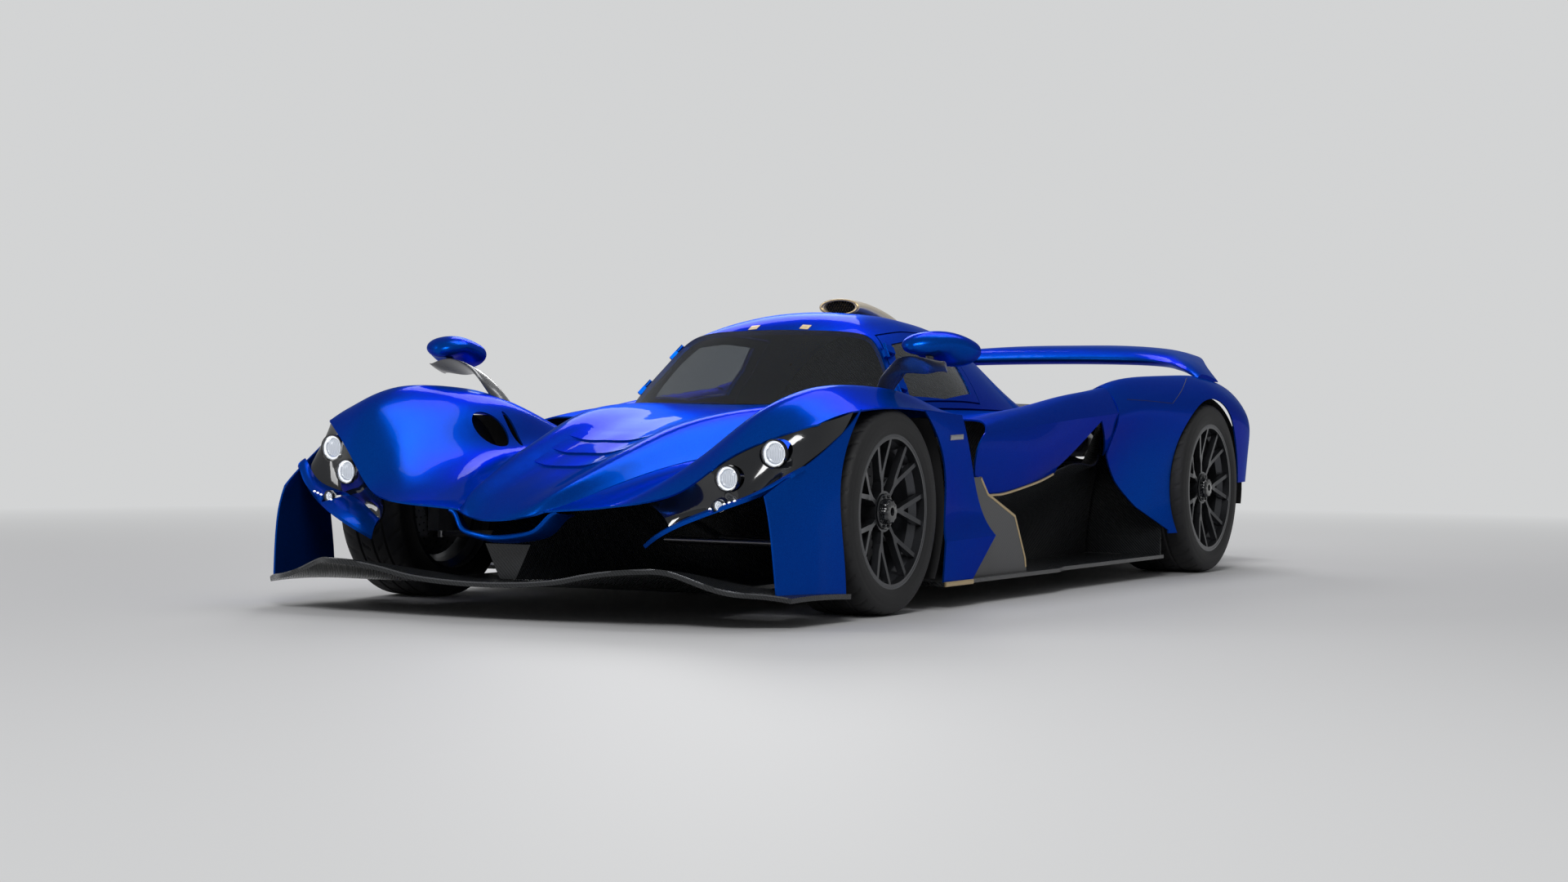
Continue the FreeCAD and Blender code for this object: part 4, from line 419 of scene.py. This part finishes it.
def piece(name, shape, finish, slot, body="chassis", smooth=True, bevel=0.0):
    """A mesh object from a shape, with doubles merged, normals outward and its body named; the slot argument
    is not used.
    """
    points, faces = shape
    mesh = bpy.data.meshes.new(name)
    mesh.from_pydata(points, [], faces.tolist())
    work = bmesh.new()
    work.from_mesh(mesh)
    bmesh.ops.remove_doubles(work, verts=work.verts, dist=1e-6)
    bmesh.ops.recalc_face_normals(work, faces=work.faces)
    work.to_mesh(mesh)
    work.free()
    mesh.materials.append(finish)
    if smooth:
        mesh.shade_smooth()
        mesh.set_sharp_from_angle(angle=math.radians(35))
    made = bpy.data.objects.new(name, mesh)
    bpy.context.collection.objects.link(made)
    if bevel:
        edge = made.modifiers.new("edge", "BEVEL")
        edge.width = bevel
        edge.segments = 2
    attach(made, body)
    return made


def pair(name, shape, finish, slot, **more):
    return piece(name, joined([shape, mirrored(shape)]), finish, slot, **more)


def rounded(width, height, count=16, power=4.0):
    """A closed section: the superellipse |a|^p + |b|^p = 1 of the width and height."""
    angle = np.linspace(0, math.tau, count, endpoint=False)
    c, s = np.cos(angle), np.sin(angle)
    return np.stack([np.sign(c) * np.abs(c) ** (2 / power) * width / 2,
                     np.sign(s) * np.abs(s) ** (2 / power) * height / 2], 1)


def honeycomb(centres, across, up, radius, wall, depth):
    """Six-sided cells, each a ring between an outer and an inner hexagon, from front to back."""
    angle = np.arange(6) * math.tau / 6 + math.pi / 6
    ring = np.cos(angle)[:, None] * across + np.sin(angle)[:, None] * up
    back = np.cross(across, up)
    section = np.stack([ring * radius, ring * (radius - wall), ring * (radius - wall) + back * depth,
                        ring * radius + back * depth])
    cells = np.asarray(centres)[:, None, None] + section
    faces = quads(4, 6, True, True)
    starts = np.arange(len(cells))[:, None, None] * 24
    return cells.reshape(-1, 3), (faces[None] + starts).reshape(-1, 4)


def hex_centres(half_width, half_height, pitch):
    """Places of a hexagonal pattern inside an ellipse, as (a, b) pairs."""
    a, b = np.meshgrid(np.arange(-40, 41), np.arange(-40, 41))
    x = (a + (b % 2) * 0.5) * pitch
    z = b * pitch * math.sqrt(0.75)
    inside = (x / half_width) ** 2 + (z / half_height) ** 2 < 1
    return x[inside], z[inside]


def place(x, y, z):
    """A point from metres out from the middle, behind the front axle and above the ground."""
    return np.array((x, FRONT_AXLE + y, z))


# Camera, first, because some trims are placed by pixels of the photograph

CAMERA_PLACE = place(4.7894, -7.7953, 0.6388)
CAMERA_LENS = 62.12
SENSOR = 36.0
FRAME_WIDTH, FRAME_HEIGHT = 1920, 1080


def camera_axes():
    """Right, up and back of the camera solved from the wheels, from its turn, dip and roll."""
    turn, dip, roll = (math.radians(a) for a in (28.3665, 0.5297, 0.3604))
    back = Vector((math.sin(turn) * math.cos(dip), -math.cos(turn) * math.cos(dip), math.sin(dip)))
    right = (-back).cross(Vector((0, 0, 1))).normalized()
    up = right.cross(-back)
    return right * math.cos(roll) + up * math.sin(roll), up * math.cos(roll) - right * math.sin(roll), back


def photo_camera():
    """Camera where the photograph's stood, 10.6 m from the middle of the car."""
    data = bpy.data.cameras.new("camera")
    data.lens = CAMERA_LENS
    data.sensor_width = SENSOR
    camera = bpy.data.objects.new("camera", data)
    bpy.context.collection.objects.link(camera)
    turned_to = Matrix(camera_axes()).transposed().to_4x4()
    camera.matrix_world = Matrix.Translation(Vector(CAMERA_PLACE)) @ turned_to
    bpy.context.scene.camera = camera


def seen_at(pixels, node):
    """Where the camera's rays through pixels of the photograph meet a CAD node."""
    right, up, back = camera_axes()
    reach = CAMERA_LENS / SENSOR * FRAME_WIDTH
    found = []
    for x, y in pixels:
        ray = right * ((x - FRAME_WIDTH / 2) / reach) - up * ((y - FRAME_HEIGHT / 2) / reach) - back
        hit, spot, normal, face = frame["nodes"][node].ray_cast(Vector(CAMERA_PLACE), ray.normalized())
        if not hit:
            print("seen_at missed", node, x, y)
        found.append(spot)
    return np.array(found)


# Lamps

LAMPS = ((place(0.842, -0.5487, 0.5235), 0.045), (place(0.723, -0.6284, 0.447), 0.042),
         (place(0.735, -0.7021, 0.3662), 0.020))
FORWARD = (0.0, -1.0, 0.0)
LAMP_STEPS = 64
BOWL_INSET, BOWL_DEPTH, BOWL_WALL = 0.0058, 0.034, 0.0015
RING_SHARE, RING_RADIUS, RING_SUNK = 0.80, 0.0035, 0.009
LENS_SHARE = 0.64
DOME_RISE, DOME_WALL = 0.011, 0.0012


def fluted(place):
    """Lit glass with upright flutes: brightness and roughness follow a triangle wave of the place across."""
    flute = (place.axis("X") * FLUTES_PER_METRE).wave()
    return {"Emission Color": flute.blend((0.40, 0.43, 0.49), (0.74, 0.78, 0.84)),
            "Roughness": flute * 0.2 + 0.1}


def make_lamps():
    """Each lamp is a dark bezel, a chrome bowl, a lit ring round a fluted lens, and a clear dome."""
    flutes = material("projector_lens", (0.10, 0.11, 0.12), 0.15, 0.0, fluted, Emission_Strength=0.8,
                      Coat_Weight=0.3)
    bezels, bowls, rings, lenses, domes = [], [], [], [], []
    dome_angle = np.linspace(0, 1, 9)
    for centre, r in LAMPS:
        bezel = [(-0.012, r - 0.0006), (0.002, r - 0.0006), (0.0035, r - 0.002), (0.002, r - 0.0055),
                 (-0.012, r - 0.0055)]
        bezels.append(turned(bezel, centre, FORWARD, LAMP_STEPS, True))
        rho = np.linspace(1.0, 0.45, 10)
        bowl = np.stack([-BOWL_DEPTH * (1 - rho ** 2) - 0.003, rho * (r - BOWL_INSET)], 1)
        bowl = np.concatenate([bowl, bowl[::-1] - (BOWL_WALL, 0)])
        bowls.append(turned(bowl, centre, FORWARD, LAMP_STEPS, True))
        tube = np.linspace(0, math.tau, 12, endpoint=False)
        ring = np.stack([-RING_SUNK + RING_RADIUS * np.cos(tube),
                         r * RING_SHARE + RING_RADIUS * np.sin(tube)], 1)
        rings.append(turned(ring, centre, FORWARD, LAMP_STEPS, True))
        quarter = dome_angle * math.pi / 2
        lens = np.stack([-0.018 + 0.015 * np.cos(quarter), r * LENS_SHARE * np.sin(quarter)], 1)
        lens = np.concatenate([lens, [(-0.024, r * LENS_SHARE), (-0.024, 0.0)]])
        lenses.append(turned(lens, centre, FORWARD, LAMP_STEPS))
        dome = np.stack([DOME_RISE * (1 - dome_angle ** 2), dome_angle * (r - BOWL_INSET)], 1)
        dome = np.concatenate([dome, dome[::-1] - (DOME_WALL, 0)])
        domes.append(turned(dome, centre, FORWARD, LAMP_STEPS))
    first = pair("lamp_bezels", joined(bezels), BLACK, "gloss_black")
    pair("lamp_bowls", joined(bowls), CHROME, "steel")
    pair("lamp_rings", joined(rings), GLOW, "lamp_glass")
    pair("lamp_lenses", joined(lenses), flutes, "lamp_glass")
    pair("lamp_domes", joined(domes), CLEAR, "lamp_glass")
    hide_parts("headlamps")


# Wheels

# Name, side, middle of the tyre, axle place, hub height, hub face and rim radius
WHEELS = (("front_left", 1, 0.8555, FRONT_AXLE, 0.334, 0.948, 0.241),
          ("front_right", -1, 0.8555, FRONT_AXLE, 0.334, 0.948, 0.241),
          ("rear_left", 1, 0.8475, REAR_AXLE, 0.3515, 0.970, 0.254),
          ("rear_right", -1, 0.8475, REAR_AXLE, 0.3515, 0.970, 0.254))
# Half section of a tyre: share of the half width, and share of the height above the rim
TREAD_SHARES = ((0.900, 0.020), (0.960, 0.10), (0.995, 0.30), (1.0, 0.48), (0.990, 0.66), (0.965, 0.80),
                (0.925, 0.885), (0.86, 0.944), (0.76, 0.980), (0.60, 0.993), (0.30, 0.999), (0.0, 1.0))
# Shares of the half width where the flat tread, the shoulder and the wall begin, and of the height for tread
FLAT_SHARE, SHOULDER_SHARE, WALL_SHARE, TREAD_EDGE = 0.48, 0.64, 0.94, 0.9
CROWN_POINTS = 16
GROOVE_PLACES = (-0.42, 0.0, 0.42)
GROOVE_HALF, GROOVE_DEPTH = 0.03, 0.005
SIPE_DEPTH, SIPE_SHARE, SIPE_SLANT = 0.0025, 0.17, 1.6
SHOULDER_SIPES, MIDDLE_SIPES = 0.55, (0.12, 0.34)
TREAD_BLOCKS = 36
TYRE_STEPS = 432
WALL_RINGS, WALL_RING_CREST, WALL_RING_HEIGHT = 9, 0.75, 0.0012
BEAD_SHARE, BEAD_LIFT = 0.90, 0.012


def tyre_shape(name, side, centre, rim_radius):
    """A half section mirrored about the middle, turned about the axle, and sunk by three grooves round the
    tread and by slanted sipes: depth times a smooth step of (angle x count + place across)."""
    low, high = (np.array(corner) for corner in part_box("tyre_" + name))
    half = (high[0] - low[0]) / 2
    radius = (high[2] - low[2]) / 2
    height = radius - rim_radius
    bend = smooth_path(TREAD_SHARES, 34)
    flat = np.linspace(-FLAT_SHARE, FLAT_SHARE, 49)
    across = np.concatenate([-bend[:-1, 0], flat, bend[-2::-1, 0]])
    across = np.unique(np.round(across, 4)[np.abs(across) < SHOULDER_SHARE])
    shoulder = bend[bend[:, 0] >= SHOULDER_SHARE]
    crown = np.interp(np.abs(across), bend[::-1, 0][:CROWN_POINTS], bend[::-1, 1][:CROWN_POINTS])
    section = np.concatenate([shoulder * (-1, 1), np.stack([across, crown], 1), shoulder[::-1]])
    width = section[:, :1]
    tread = section[:, 1:] > TREAD_EDGE
    bands = sum(np.exp(-((width - g) / GROOVE_HALF) ** 4) for g in GROOVE_PLACES) * tread
    angle = np.arange(TYRE_STEPS) * math.tau / TYRE_STEPS
    slant = width * SIPE_SLANT * np.sign(width)
    cut = (angle[None] * TREAD_BLOCKS / math.tau + slant) % 1.0 < SIPE_SHARE
    outer = cut & (np.abs(width) > SHOULDER_SIPES) & tread
    middle = cut & (np.abs(width) > MIDDLE_SIPES[0]) & (np.abs(width) < MIDDLE_SIPES[1])
    wall = np.abs(width) > WALL_SHARE
    ridge = wall * WALL_RING_HEIGHT * (np.cos(section[:, 1:] * 2 * math.pi * WALL_RINGS) > WALL_RING_CREST)
    sink = GROOVE_DEPTH * bands + SIPE_DEPTH * (outer | middle)
    r = rim_radius + section[:, 1:] * height - np.minimum(sink, GROOVE_DEPTH)
    x = (width * half - ridge * np.sign(width)) * np.ones_like(angle)[None]
    points = np.stack([side * (centre[0] + x), centre[1] + r * np.cos(angle),
                       centre[2] + r * np.sin(angle)], 2)
    seat = np.array([(BEAD_SHARE, BEAD_LIFT), (-BEAD_SHARE, BEAD_LIFT)])
    inner = np.stack([side * (centre[0] + seat[:, :1] * half * np.ones_like(angle)),
                      centre[1] + (rim_radius + seat[:, 1:] * height) * np.cos(angle),
                      centre[2] + (rim_radius + seat[:, 1:] * height) * np.sin(angle)], 2)
    ring = np.concatenate([points, inner])
    return ring.reshape(-1, 3), quads(len(ring), TYRE_STEPS, True, True)


BOLTS, BOLT_CIRCLE, BOLT_SEAT = 10, 0.0492, 0.0072
LOBES, LOBE_SHARE, LOBES_FROM = 10, 0.05, 0.033


def hub_shapes(side, x, centre):
    """Black plate on the hub with ten bolts round a lobed centre nut: radius r (1 + 0.05 cos 10 angle)."""
    way = (float(side), 0.0, 0.0)
    start = np.array((side * x, centre[1], centre[2]))
    plate = turned([(0.0005, 0.0315), (0.0005, 0.056), (0.004, 0.058), (0.007, 0.056), (0.008, 0.045),
                    (0.006, 0.0315)], start, way, 64, True)
    nut = turned([(0.004, 0.0315), (0.004, 0.040), (0.012, 0.041), (0.022, 0.038), (0.028, 0.034),
                  (0.029, 0.027), (0.029, 0.014), (0.0255, 0.014), (0.0255, 0.0312)], start, way, 120, True)
    out = nut[0] - start
    outside = np.hypot(out[:, 1], out[:, 2]) > LOBES_FROM
    lobes = 1 + LOBE_SHARE * np.cos(LOBES * np.arctan2(out[:, 2], out[:, 1])) * outside
    nut = (start + out * np.stack([np.ones_like(lobes), lobes, lobes], 1), nut[1])
    bolts = []
    for k in range(BOLTS):
        turn = k * math.tau / BOLTS
        round_way = BOLT_CIRCLE * math.cos(turn), BOLT_CIRCLE * math.sin(turn)
        seat = start + np.array((side * BOLT_SEAT, *round_way))
        bolts.append(turned([(0, 0.0), (0, 0.0052), (0.005, 0.0052), (0.0062, 0.0040), (0.0062, 0.0026),
                             (0.003, 0.0022), (0.003, 0.0)], seat, way, 12))
    return joined([plate, nut] + bolts)


def make_wheels():
    """Tyre, hub and a lip round the rim's edge for each wheel; the lip is a section turned about the axle."""
    for name, side, x, y, z, hub_x, rim_radius in WHEELS:
        body = "wheel_" + name
        shape = tyre_shape(name, side, (x, y, z), rim_radius)
        tyre = piece("tread_" + name, shape, RUBBER, "tyre", body=body)
        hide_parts("tyre_" + name)
        piece("hub_" + name, hub_shapes(side, hub_x, (x, y, z)), BLACK, "gloss_black", body=body)
        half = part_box("rim_" + name)[1][0] if side > 0 else -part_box("rim_" + name)[0][0]
        profile = [(-0.0005, rim_radius + 0.0115), (0.0010, rim_radius + 0.010),
                   (0.0012, rim_radius + 0.002), (-0.0005, rim_radius + 0.0005)]
        lip = turned(profile, (side * half, y, z), (float(side), 0, 0), 128, True)
        piece("lip_" + name, lip, RIM_FRONT if "front" in name else RIM_REAR, "wheel_metal", body=body)


# Axle place, hub height, reach rearwards, forwards and upwards, turn in degrees, inner and outer edge
LINERS = ((FRONT_AXLE, 0.334, 0.405, 0.405, 0.405, (-35, 48), (0.69, 0.972)),
          (REAR_AXLE, 0.3515, 0.515, 0.385, 0.380, (-12, 125), (0.72, 0.965)))
LINER_HALF_WALL = 0.0015


def make_liners():
    """Dark sheets behind the wheels: an arc about the axle, (reach cosine, height sine), made thick."""
    sheets = []
    for y, z, rear, front, height, turn, reach in LINERS:
        angle, x = np.meshgrid(np.radians(np.linspace(*turn, 30)), np.linspace(*reach, 5), indexing="ij")
        outward = np.stack([np.zeros_like(x), np.cos(angle), np.sin(angle)], -1)
        along = np.where(np.cos(angle) > 0, rear, front) * np.cos(angle)
        sheet = np.stack([x, y + along, z + height * np.sin(angle)], -1)
        sheets.append(slab(sheet, grid_normals(sheet, outward), LINER_HALF_WALL, LINER_HALF_WALL))
    pair("arch_liners", joined(sheets), MATT, "gloss_black")


# Trims

FENCE_EDGE_SHARES = ((0.255, 0.393), (0.275, 0.340), (0.355, 0.264), (0.386, 0.125), (0.3885, 0.095))
POD_EDGE = ((0.922, 0.773, 0.365), (0.925, 0.90, 0.366), (0.925, 1.018, 0.370), (0.925, 1.268, 0.399),
            (0.915, 1.40, 0.416), (0.908, 1.487, 0.430))
SPLITTER_SHARES = ((0.01, -0.3025), (0.24, -0.3025), (0.467, -0.3025), (0.577, -0.3015), (0.656, -0.290),
                   (0.75, -0.281), (0.838, -0.274), (0.905, -0.258), (0.975, -0.238))

SEAMS = (("rear_fender_left", ((1453, 463), (1447, 478), (1436, 494))),
         ("rear_fender_left", ((1380, 489), (1408, 491), (1436, 494))))
LIGHT_STRIP = ((385, 602), (405, 612))
PAD_MIDDLE, PAD_HALF, PAD_ALONG = 0.108, 0.018, (1.02, 1.052)
STEP_STARTS, STEP_LENGTH, STEP_HALF, STEP_RISE = (-0.43, -0.30, -0.17), 0.125, 0.125, 0.0045
MARKER_ALONG, MARKER_HEIGHT, MARKER_LENGTH, MARKER_RIBS = (0.380, 0.476), (0.563, 0.580), 0.096, 14


def make_trims():
    """Gold edges, roof pads, the splitter's edge, nose steps, seams, light strips and side markers: sections
    carried along paths, and sheets laid on a node and made thick by their rise."""
    fence = [place(0.945, y * WHEELBASE, z * HEIGHT) for y, z in FENCE_EDGE_SHARES]
    fence = np.concatenate([np.linspace(a, b, 8)[:-1] for a, b in zip(fence, fence[1:])] + [fence[-1:]])
    bar = swept(fence, rounded(0.011, 0.012), (1, 0, 0))
    pod = swept(smooth_path([place(*p) for p in POD_EDGE], 60), rounded(0.009, 0.010), (1, 0, 0))
    sill = np.linspace(place(1.0, 0.352, 0.0825), place(1.0, 0.574, 0.0825), 12)
    foot = swept(sill, rounded(0.010, 0.0165), (0, 0, 1))
    pair("gold_edges", joined([bar, pod, foot]), GOLD, "paint_gold")

    x = np.linspace(PAD_MIDDLE - PAD_HALF, PAD_MIDDLE + PAD_HALF, 8)
    y = FRONT_AXLE + np.linspace(*PAD_ALONG, 8)
    grid = np.stack(np.meshgrid(x, y, [0.0], indexing="ij"), -1)[:, :, 0]
    grid = laid_on(grid, "canopy", "+Z")
    pad = slab(grid, grid_normals(grid, (0, 0, 1)), 0.0022, 0.001)
    pair("roof_pads", pad, GOLD, "paint_gold", bevel=0.0006)

    edge = smooth_path([place(x, y * WHEELBASE, 0.0) for x, y in SPLITTER_SHARES], 90)
    edge = np.concatenate([edge[::-1] * (-1, 1, 1), edge])
    edge = laid_on(edge + (0, 0.004, 0), "splitter", "+Z") - (0, 0.003, 0.002)
    piece("splitter_edge", swept(edge, rounded(0.003, 0.005), (0, 0, 1)), CHROME_DARK, "carbon")

    steps = []
    for start in STEP_STARTS:
        rows, across = np.linspace(0, 1, 12), np.linspace(-1, 1, 21)
        y = FRONT_AXLE + start + rows * STEP_LENGTH
        half = STEP_HALF + (start - STEP_STARTS[0]) * 0.12 + rows * 0.012
        grid = np.zeros((12, 21, 3))
        grid[..., 0] = half[:, None] * across
        grid[..., 1] = y[:, None] + 0.018 * across ** 2
        grid = laid_on(grid, "nose", "+Z")
        rise = STEP_RISE * (1 - rows)[:, None, None] * (1 - across[None, :, None] ** 6)
        steps.append(slab(grid, grid_normals(grid, (0, 0, 1)), rise + 0.0002, 0.001))
    piece("nose_steps", joined(steps), BLUE, "paint_blue")

    seams = []
    for node, pixels in SEAMS:
        seams.append(swept(seen_at(smooth_path(pixels, 24), node), rounded(0.0026, 0.0016, 8), (0, 0, 1)))
    pair("panel_seams", joined(seams), MATT, "gloss_black")

    dome = [(-0.002, 0.0), (-0.002, 0.0048), (0.0012, 0.0048), (0.0024, 0.0032), (0.0028, 0.0)]
    spots = seen_at(np.linspace(*LIGHT_STRIP, 6), "front_side_panels")
    pair("light_strips", joined([turned(dome, spot, FORWARD, 16) for spot in spots]), GLOW, "lamp_glass")

    y, z = np.meshgrid(np.linspace(*MARKER_ALONG, 85), np.linspace(*MARKER_HEIGHT, 8), indexing="ij")
    grid = np.stack([np.zeros_like(y), FRONT_AXLE + y, z + (y - 0.43) * 0.03], -1)
    grid = laid_on(grid, "front_side_panels", "+X")
    frame_rise = 0.003 * np.ones_like(y)
    along = (y - MARKER_ALONG[0]) / MARKER_LENGTH
    ribs = 0.0042 + 0.0009 * np.abs(np.sin(along * math.pi * MARKER_RIBS))
    inside = (np.abs(y - 0.428) < 0.044) & (np.abs(z - 0.5715) < 0.0062)
    rise = np.where(inside, ribs, frame_rise)[..., None]
    pair("side_markers", slab(grid, grid_normals(grid, (1, 0, 0)), rise, 0.001), STEEL, "steel")


# Roof scoop and mirrors

SCOOP_HALF_WIDTH, SCOOP_HALF_HEIGHT = 0.0786, 0.0284


def make_scoop():
    """Gold rim, a rounded section carried round the mouth's ellipse, and a mesh of six-sided cells in it."""
    centre = place(0.0, 1.519, 1.0608)
    angle = np.linspace(0, math.tau, 72, endpoint=False)
    ring = centre + np.stack([SCOOP_HALF_WIDTH * np.cos(angle), np.full(72, -0.001),
                              SCOOP_HALF_HEIGHT * np.sin(angle)], 1)
    piece("scoop_rim", swept(ring, rounded(0.0085, 0.007, 12, 2.5), (0, -1, 0), True), GOLD, "paint_gold")
    x, z = hex_centres(0.066, 0.0235, 0.0115)
    cells = np.stack([x, np.full_like(x, centre[1] + 0.022), z + centre[2]], 1)
    mesh = honeycomb(cells, np.array((1.0, 0, 0)), np.array((0, 0, 1.0)), 0.0070, 0.0011, 0.010)
    piece("scoop_mesh", mesh, MATT, "gloss_black", smooth=False)


def oval_plate(centre, half_width, half_height, bulge, wall):
    """A closed disc: rings of the ellipse from its middle out, bulged by 1 - radius squared, and back."""
    rho = np.concatenate([np.linspace(0, 1, 8), np.linspace(1, 0, 4)])
    angle = np.linspace(0, math.tau, 64, endpoint=False)
    depth = np.concatenate([bulge * (1 - np.linspace(0, 1, 8) ** 2), np.full(4, -wall)])
    points = np.stack([centre[0] + half_width * rho[:, None] * np.cos(angle),
                       centre[1] + depth[:, None] * np.ones(64),
                       centre[2] + half_height * rho[:, None] * np.sin(angle)], -1)
    return points.reshape(-1, 3), quads(12, 64, False, True)


def make_mirrors():
    """The glass in each mirror's recess."""
    glass = oval_plate(place(0.993, 0.4180, 0.8569), 0.0915, 0.0430, 0.002, 0.0015)
    pair("mirror_glasses", glass, MIRROR, "glass")


# Tail

LOUVRE_STARTS, LOUVRE_LENGTH, LOUVRE_HALF, LOUVRE_RISE = np.linspace(1.42, 2.02, 7), 0.055, 0.23, 0.014
LINE_HEIGHTS, LINE_HALF = (0.425, 0.490, 0.555), 0.006


def make_tail():
    """Mesh in the exhaust, cells on the fascia, deck louvres, lit lines in the tail lamps, a low lamp."""
    centre = np.array((0.0, FRONT_AXLE + 1.365 * WHEELBASE + 0.05, 0.475 * HEIGHT))
    x, z = hex_centres(0.058, 0.058, 0.013)
    cells = np.stack([x + centre[0], np.full_like(x, centre[1]), z + centre[2]], 1)
    leftward, upward = np.array((-1.0, 0, 0)), np.array((0, 0, 1.0))
    mesh = honeycomb(cells, leftward, upward, 0.0078, 0.0009, 0.012)
    piece("exhaust_mesh", mesh, STEEL, "steel", smooth=False)

    x, z = hex_centres(0.60, 0.034, 0.026)
    clear = np.abs(x) > 0.105
    cells = np.stack([x[clear], 0 * x[clear], z[clear] + 0.478], 1)
    cells = laid_on(cells, "rear_fascia", "+Y") - (0, 0.002, 0)
    mesh = honeycomb(cells, leftward, upward, 0.0145, 0.0022, 0.007)
    piece("tail_cells", mesh, MATT, "gloss_black", smooth=False)

    slats = []
    for start in LOUVRE_STARTS:
        rows, x = np.meshgrid(np.linspace(0, 1, 8), np.linspace(-LOUVRE_HALF, LOUVRE_HALF, 25), indexing="ij")
        grid = laid_on(np.stack([x, start + rows * LOUVRE_LENGTH, 0 * x], -1), "engine_cover", "+Z")
        rise = LOUVRE_RISE * rows * (1 - (x / LOUVRE_HALF) ** 6)
        slats.append(slab(grid, grid_normals(grid, (0, 0, 1)), rise[..., None] + 0.0003, 0.001))
    piece("deck_louvres", joined(slats), MATT, "gloss_black")

    lines = []
    for middle in LINE_HEIGHTS:
        x, z = np.linspace(0.868, 0.930, 10), middle + np.linspace(-LINE_HALF, LINE_HALF, 4)
        grid = np.stack(np.meshgrid(x, [0.0], z, indexing="ij"), -1)[:, 0]
        grid = laid_on(grid, "tail_lamps", "+Y")
        lines.append(slab(grid, grid_normals(grid, (0, 1, 0)), 0.003, 0.001))
    pair("tail_lines", joined(lines), RED_GLOW, "lamp_red", bevel=0.0008)
    grid = np.stack(np.meshgrid(np.linspace(-0.045, 0.045, 14), [0.0], np.linspace(0.386, 0.402, 5),
                                indexing="ij"), -1)[:, 0]
    grid = laid_on(grid, "rear_fascia", "+Y")
    lamp = slab(grid, grid_normals(grid, (0, 1, 0)), 0.005, 0.001)
    piece("rain_lamp", lamp, RED_GLOW, "lamp_red", bevel=0.001)


STITCH_ROWS, STITCH_SPAN, STITCHES = (-0.862, -0.850), (0.085, 0.335), 26


def make_dash():
    """Stitches along the dashboard's top: small crowned slabs in a row."""
    rows = []
    for y in STITCH_ROWS:
        for x in np.linspace(*STITCH_SPAN, STITCHES):
            across, along = x + np.linspace(-0.003, 0.003, 4), y + np.linspace(-0.0012, 0.0012, 3)
            grid = np.stack(np.meshgrid(across, along, [0.0], indexing="ij"), -1)[:, :, 0]
            grid = laid_on(grid, "dashboard", "+Z")
            rows.append(slab(grid, grid_normals(grid, (0, 0, 1)), 0.0012, 0.0005))
    piece("dash_stitches", joined(rows), THREAD, "alcantara")


# Floor, light

PALE = 0.66
AMBIENT = 0.26
GLOSS_SHARE = 0.12
FLOOR_REACH = 60
FLOOR_FADE = (2.6, 9.0)


def studio():
    """Pale floor that runs out into an even pale backdrop, and four large soft lamps."""
    grid = bpy.data.meshes.new("floor")
    corners = [(x * FLOOR_REACH, y * FLOOR_REACH, 0) for x, y in ((-1, -1), (1, -1), (1, 1), (-1, 1))]
    grid.from_pydata(corners, [], [(0, 1, 2, 3)])
    floor = bpy.data.objects.new("floor", grid)
    bpy.context.collection.objects.link(floor)
    finish = material("floor", (0.52, 0.52, 0.53), 0.55)
    floor.data.materials.append(finish)
    tree = finish.node_tree
    spot = Signal(tree, tree.nodes.new("ShaderNodeTexCoord").outputs["Object"])
    x, y = spot.axis("X"), spot.axis("Y")
    far = (x * x + y * y).math("SQRT").between(*FLOOR_FADE)
    backdrop = (PALE * 0.985, PALE * 0.995, PALE, 1.0)
    glow = spot.node("ShaderNodeEmission", {"Color": backdrop, "Strength": 1.0})
    plain = Signal(tree, tree.nodes["Principled BSDF"].outputs[0])
    mixed = far.node("ShaderNodeMixShader", {0: far, 1: plain, 2: glow})
    tree.links.new(mixed.socket, tree.nodes["Material Output"].inputs["Surface"])

    world = bpy.data.worlds.new("studio")
    bpy.context.scene.world = world
    world.use_nodes = True
    tree = world.node_tree
    sky = tree.nodes["Background"]
    rays = tree.nodes.new("ShaderNodeLightPath")
    seen = Signal(tree, rays.outputs["Is Camera Ray"])
    glossy = Signal(tree, rays.outputs["Is Glossy Ray"])
    through = Signal(tree, rays.outputs["Is Transmission Ray"])
    shown = seen.math("MAXIMUM", through).math("MAXIMUM", glossy * GLOSS_SHARE)
    level = shown * (PALE - AMBIENT) + AMBIENT
    tree.links.new(level.socket, sky.inputs["Strength"])
    sky.inputs["Color"].default_value = (0.985, 0.995, 1.0, 1.0)
    for name, spot, aim, size, power in (
            ("key", (3.0, -7.5, 5.5), (0.3, -0.8, 0.4), 2.5, 300.0),
            ("fill", (-6.0, -5.0, 4.0), (-0.3, -1.0, 0.4), 3.0, 130.0),
            ("top", (0.0, 2.5, 6.0), (0.0, 0.3, 0.0), 4.0, 220.0),
            ("rear", (-4.5, 6.5, 4.5), (0.0, 1.5, 0.5), 3.0, 180.0)):
        data = bpy.data.lights.new(name, "AREA")
        data.size = size
        data.energy = power
        lamp = bpy.data.objects.new(name, data)
        bpy.context.collection.objects.link(lamp)
        lamp.location = spot
        lamp.rotation_euler = (Vector(aim) - Vector(spot)).to_track_quat("-Z", "Y").to_euler()


photo_camera()
make_lamps()
make_wheels()
make_liners()
make_trims()
make_scoop()
make_mirrors()
make_tail()
make_dash()
studio()
bpy.context.scene.view_settings.view_transform = "Standard"
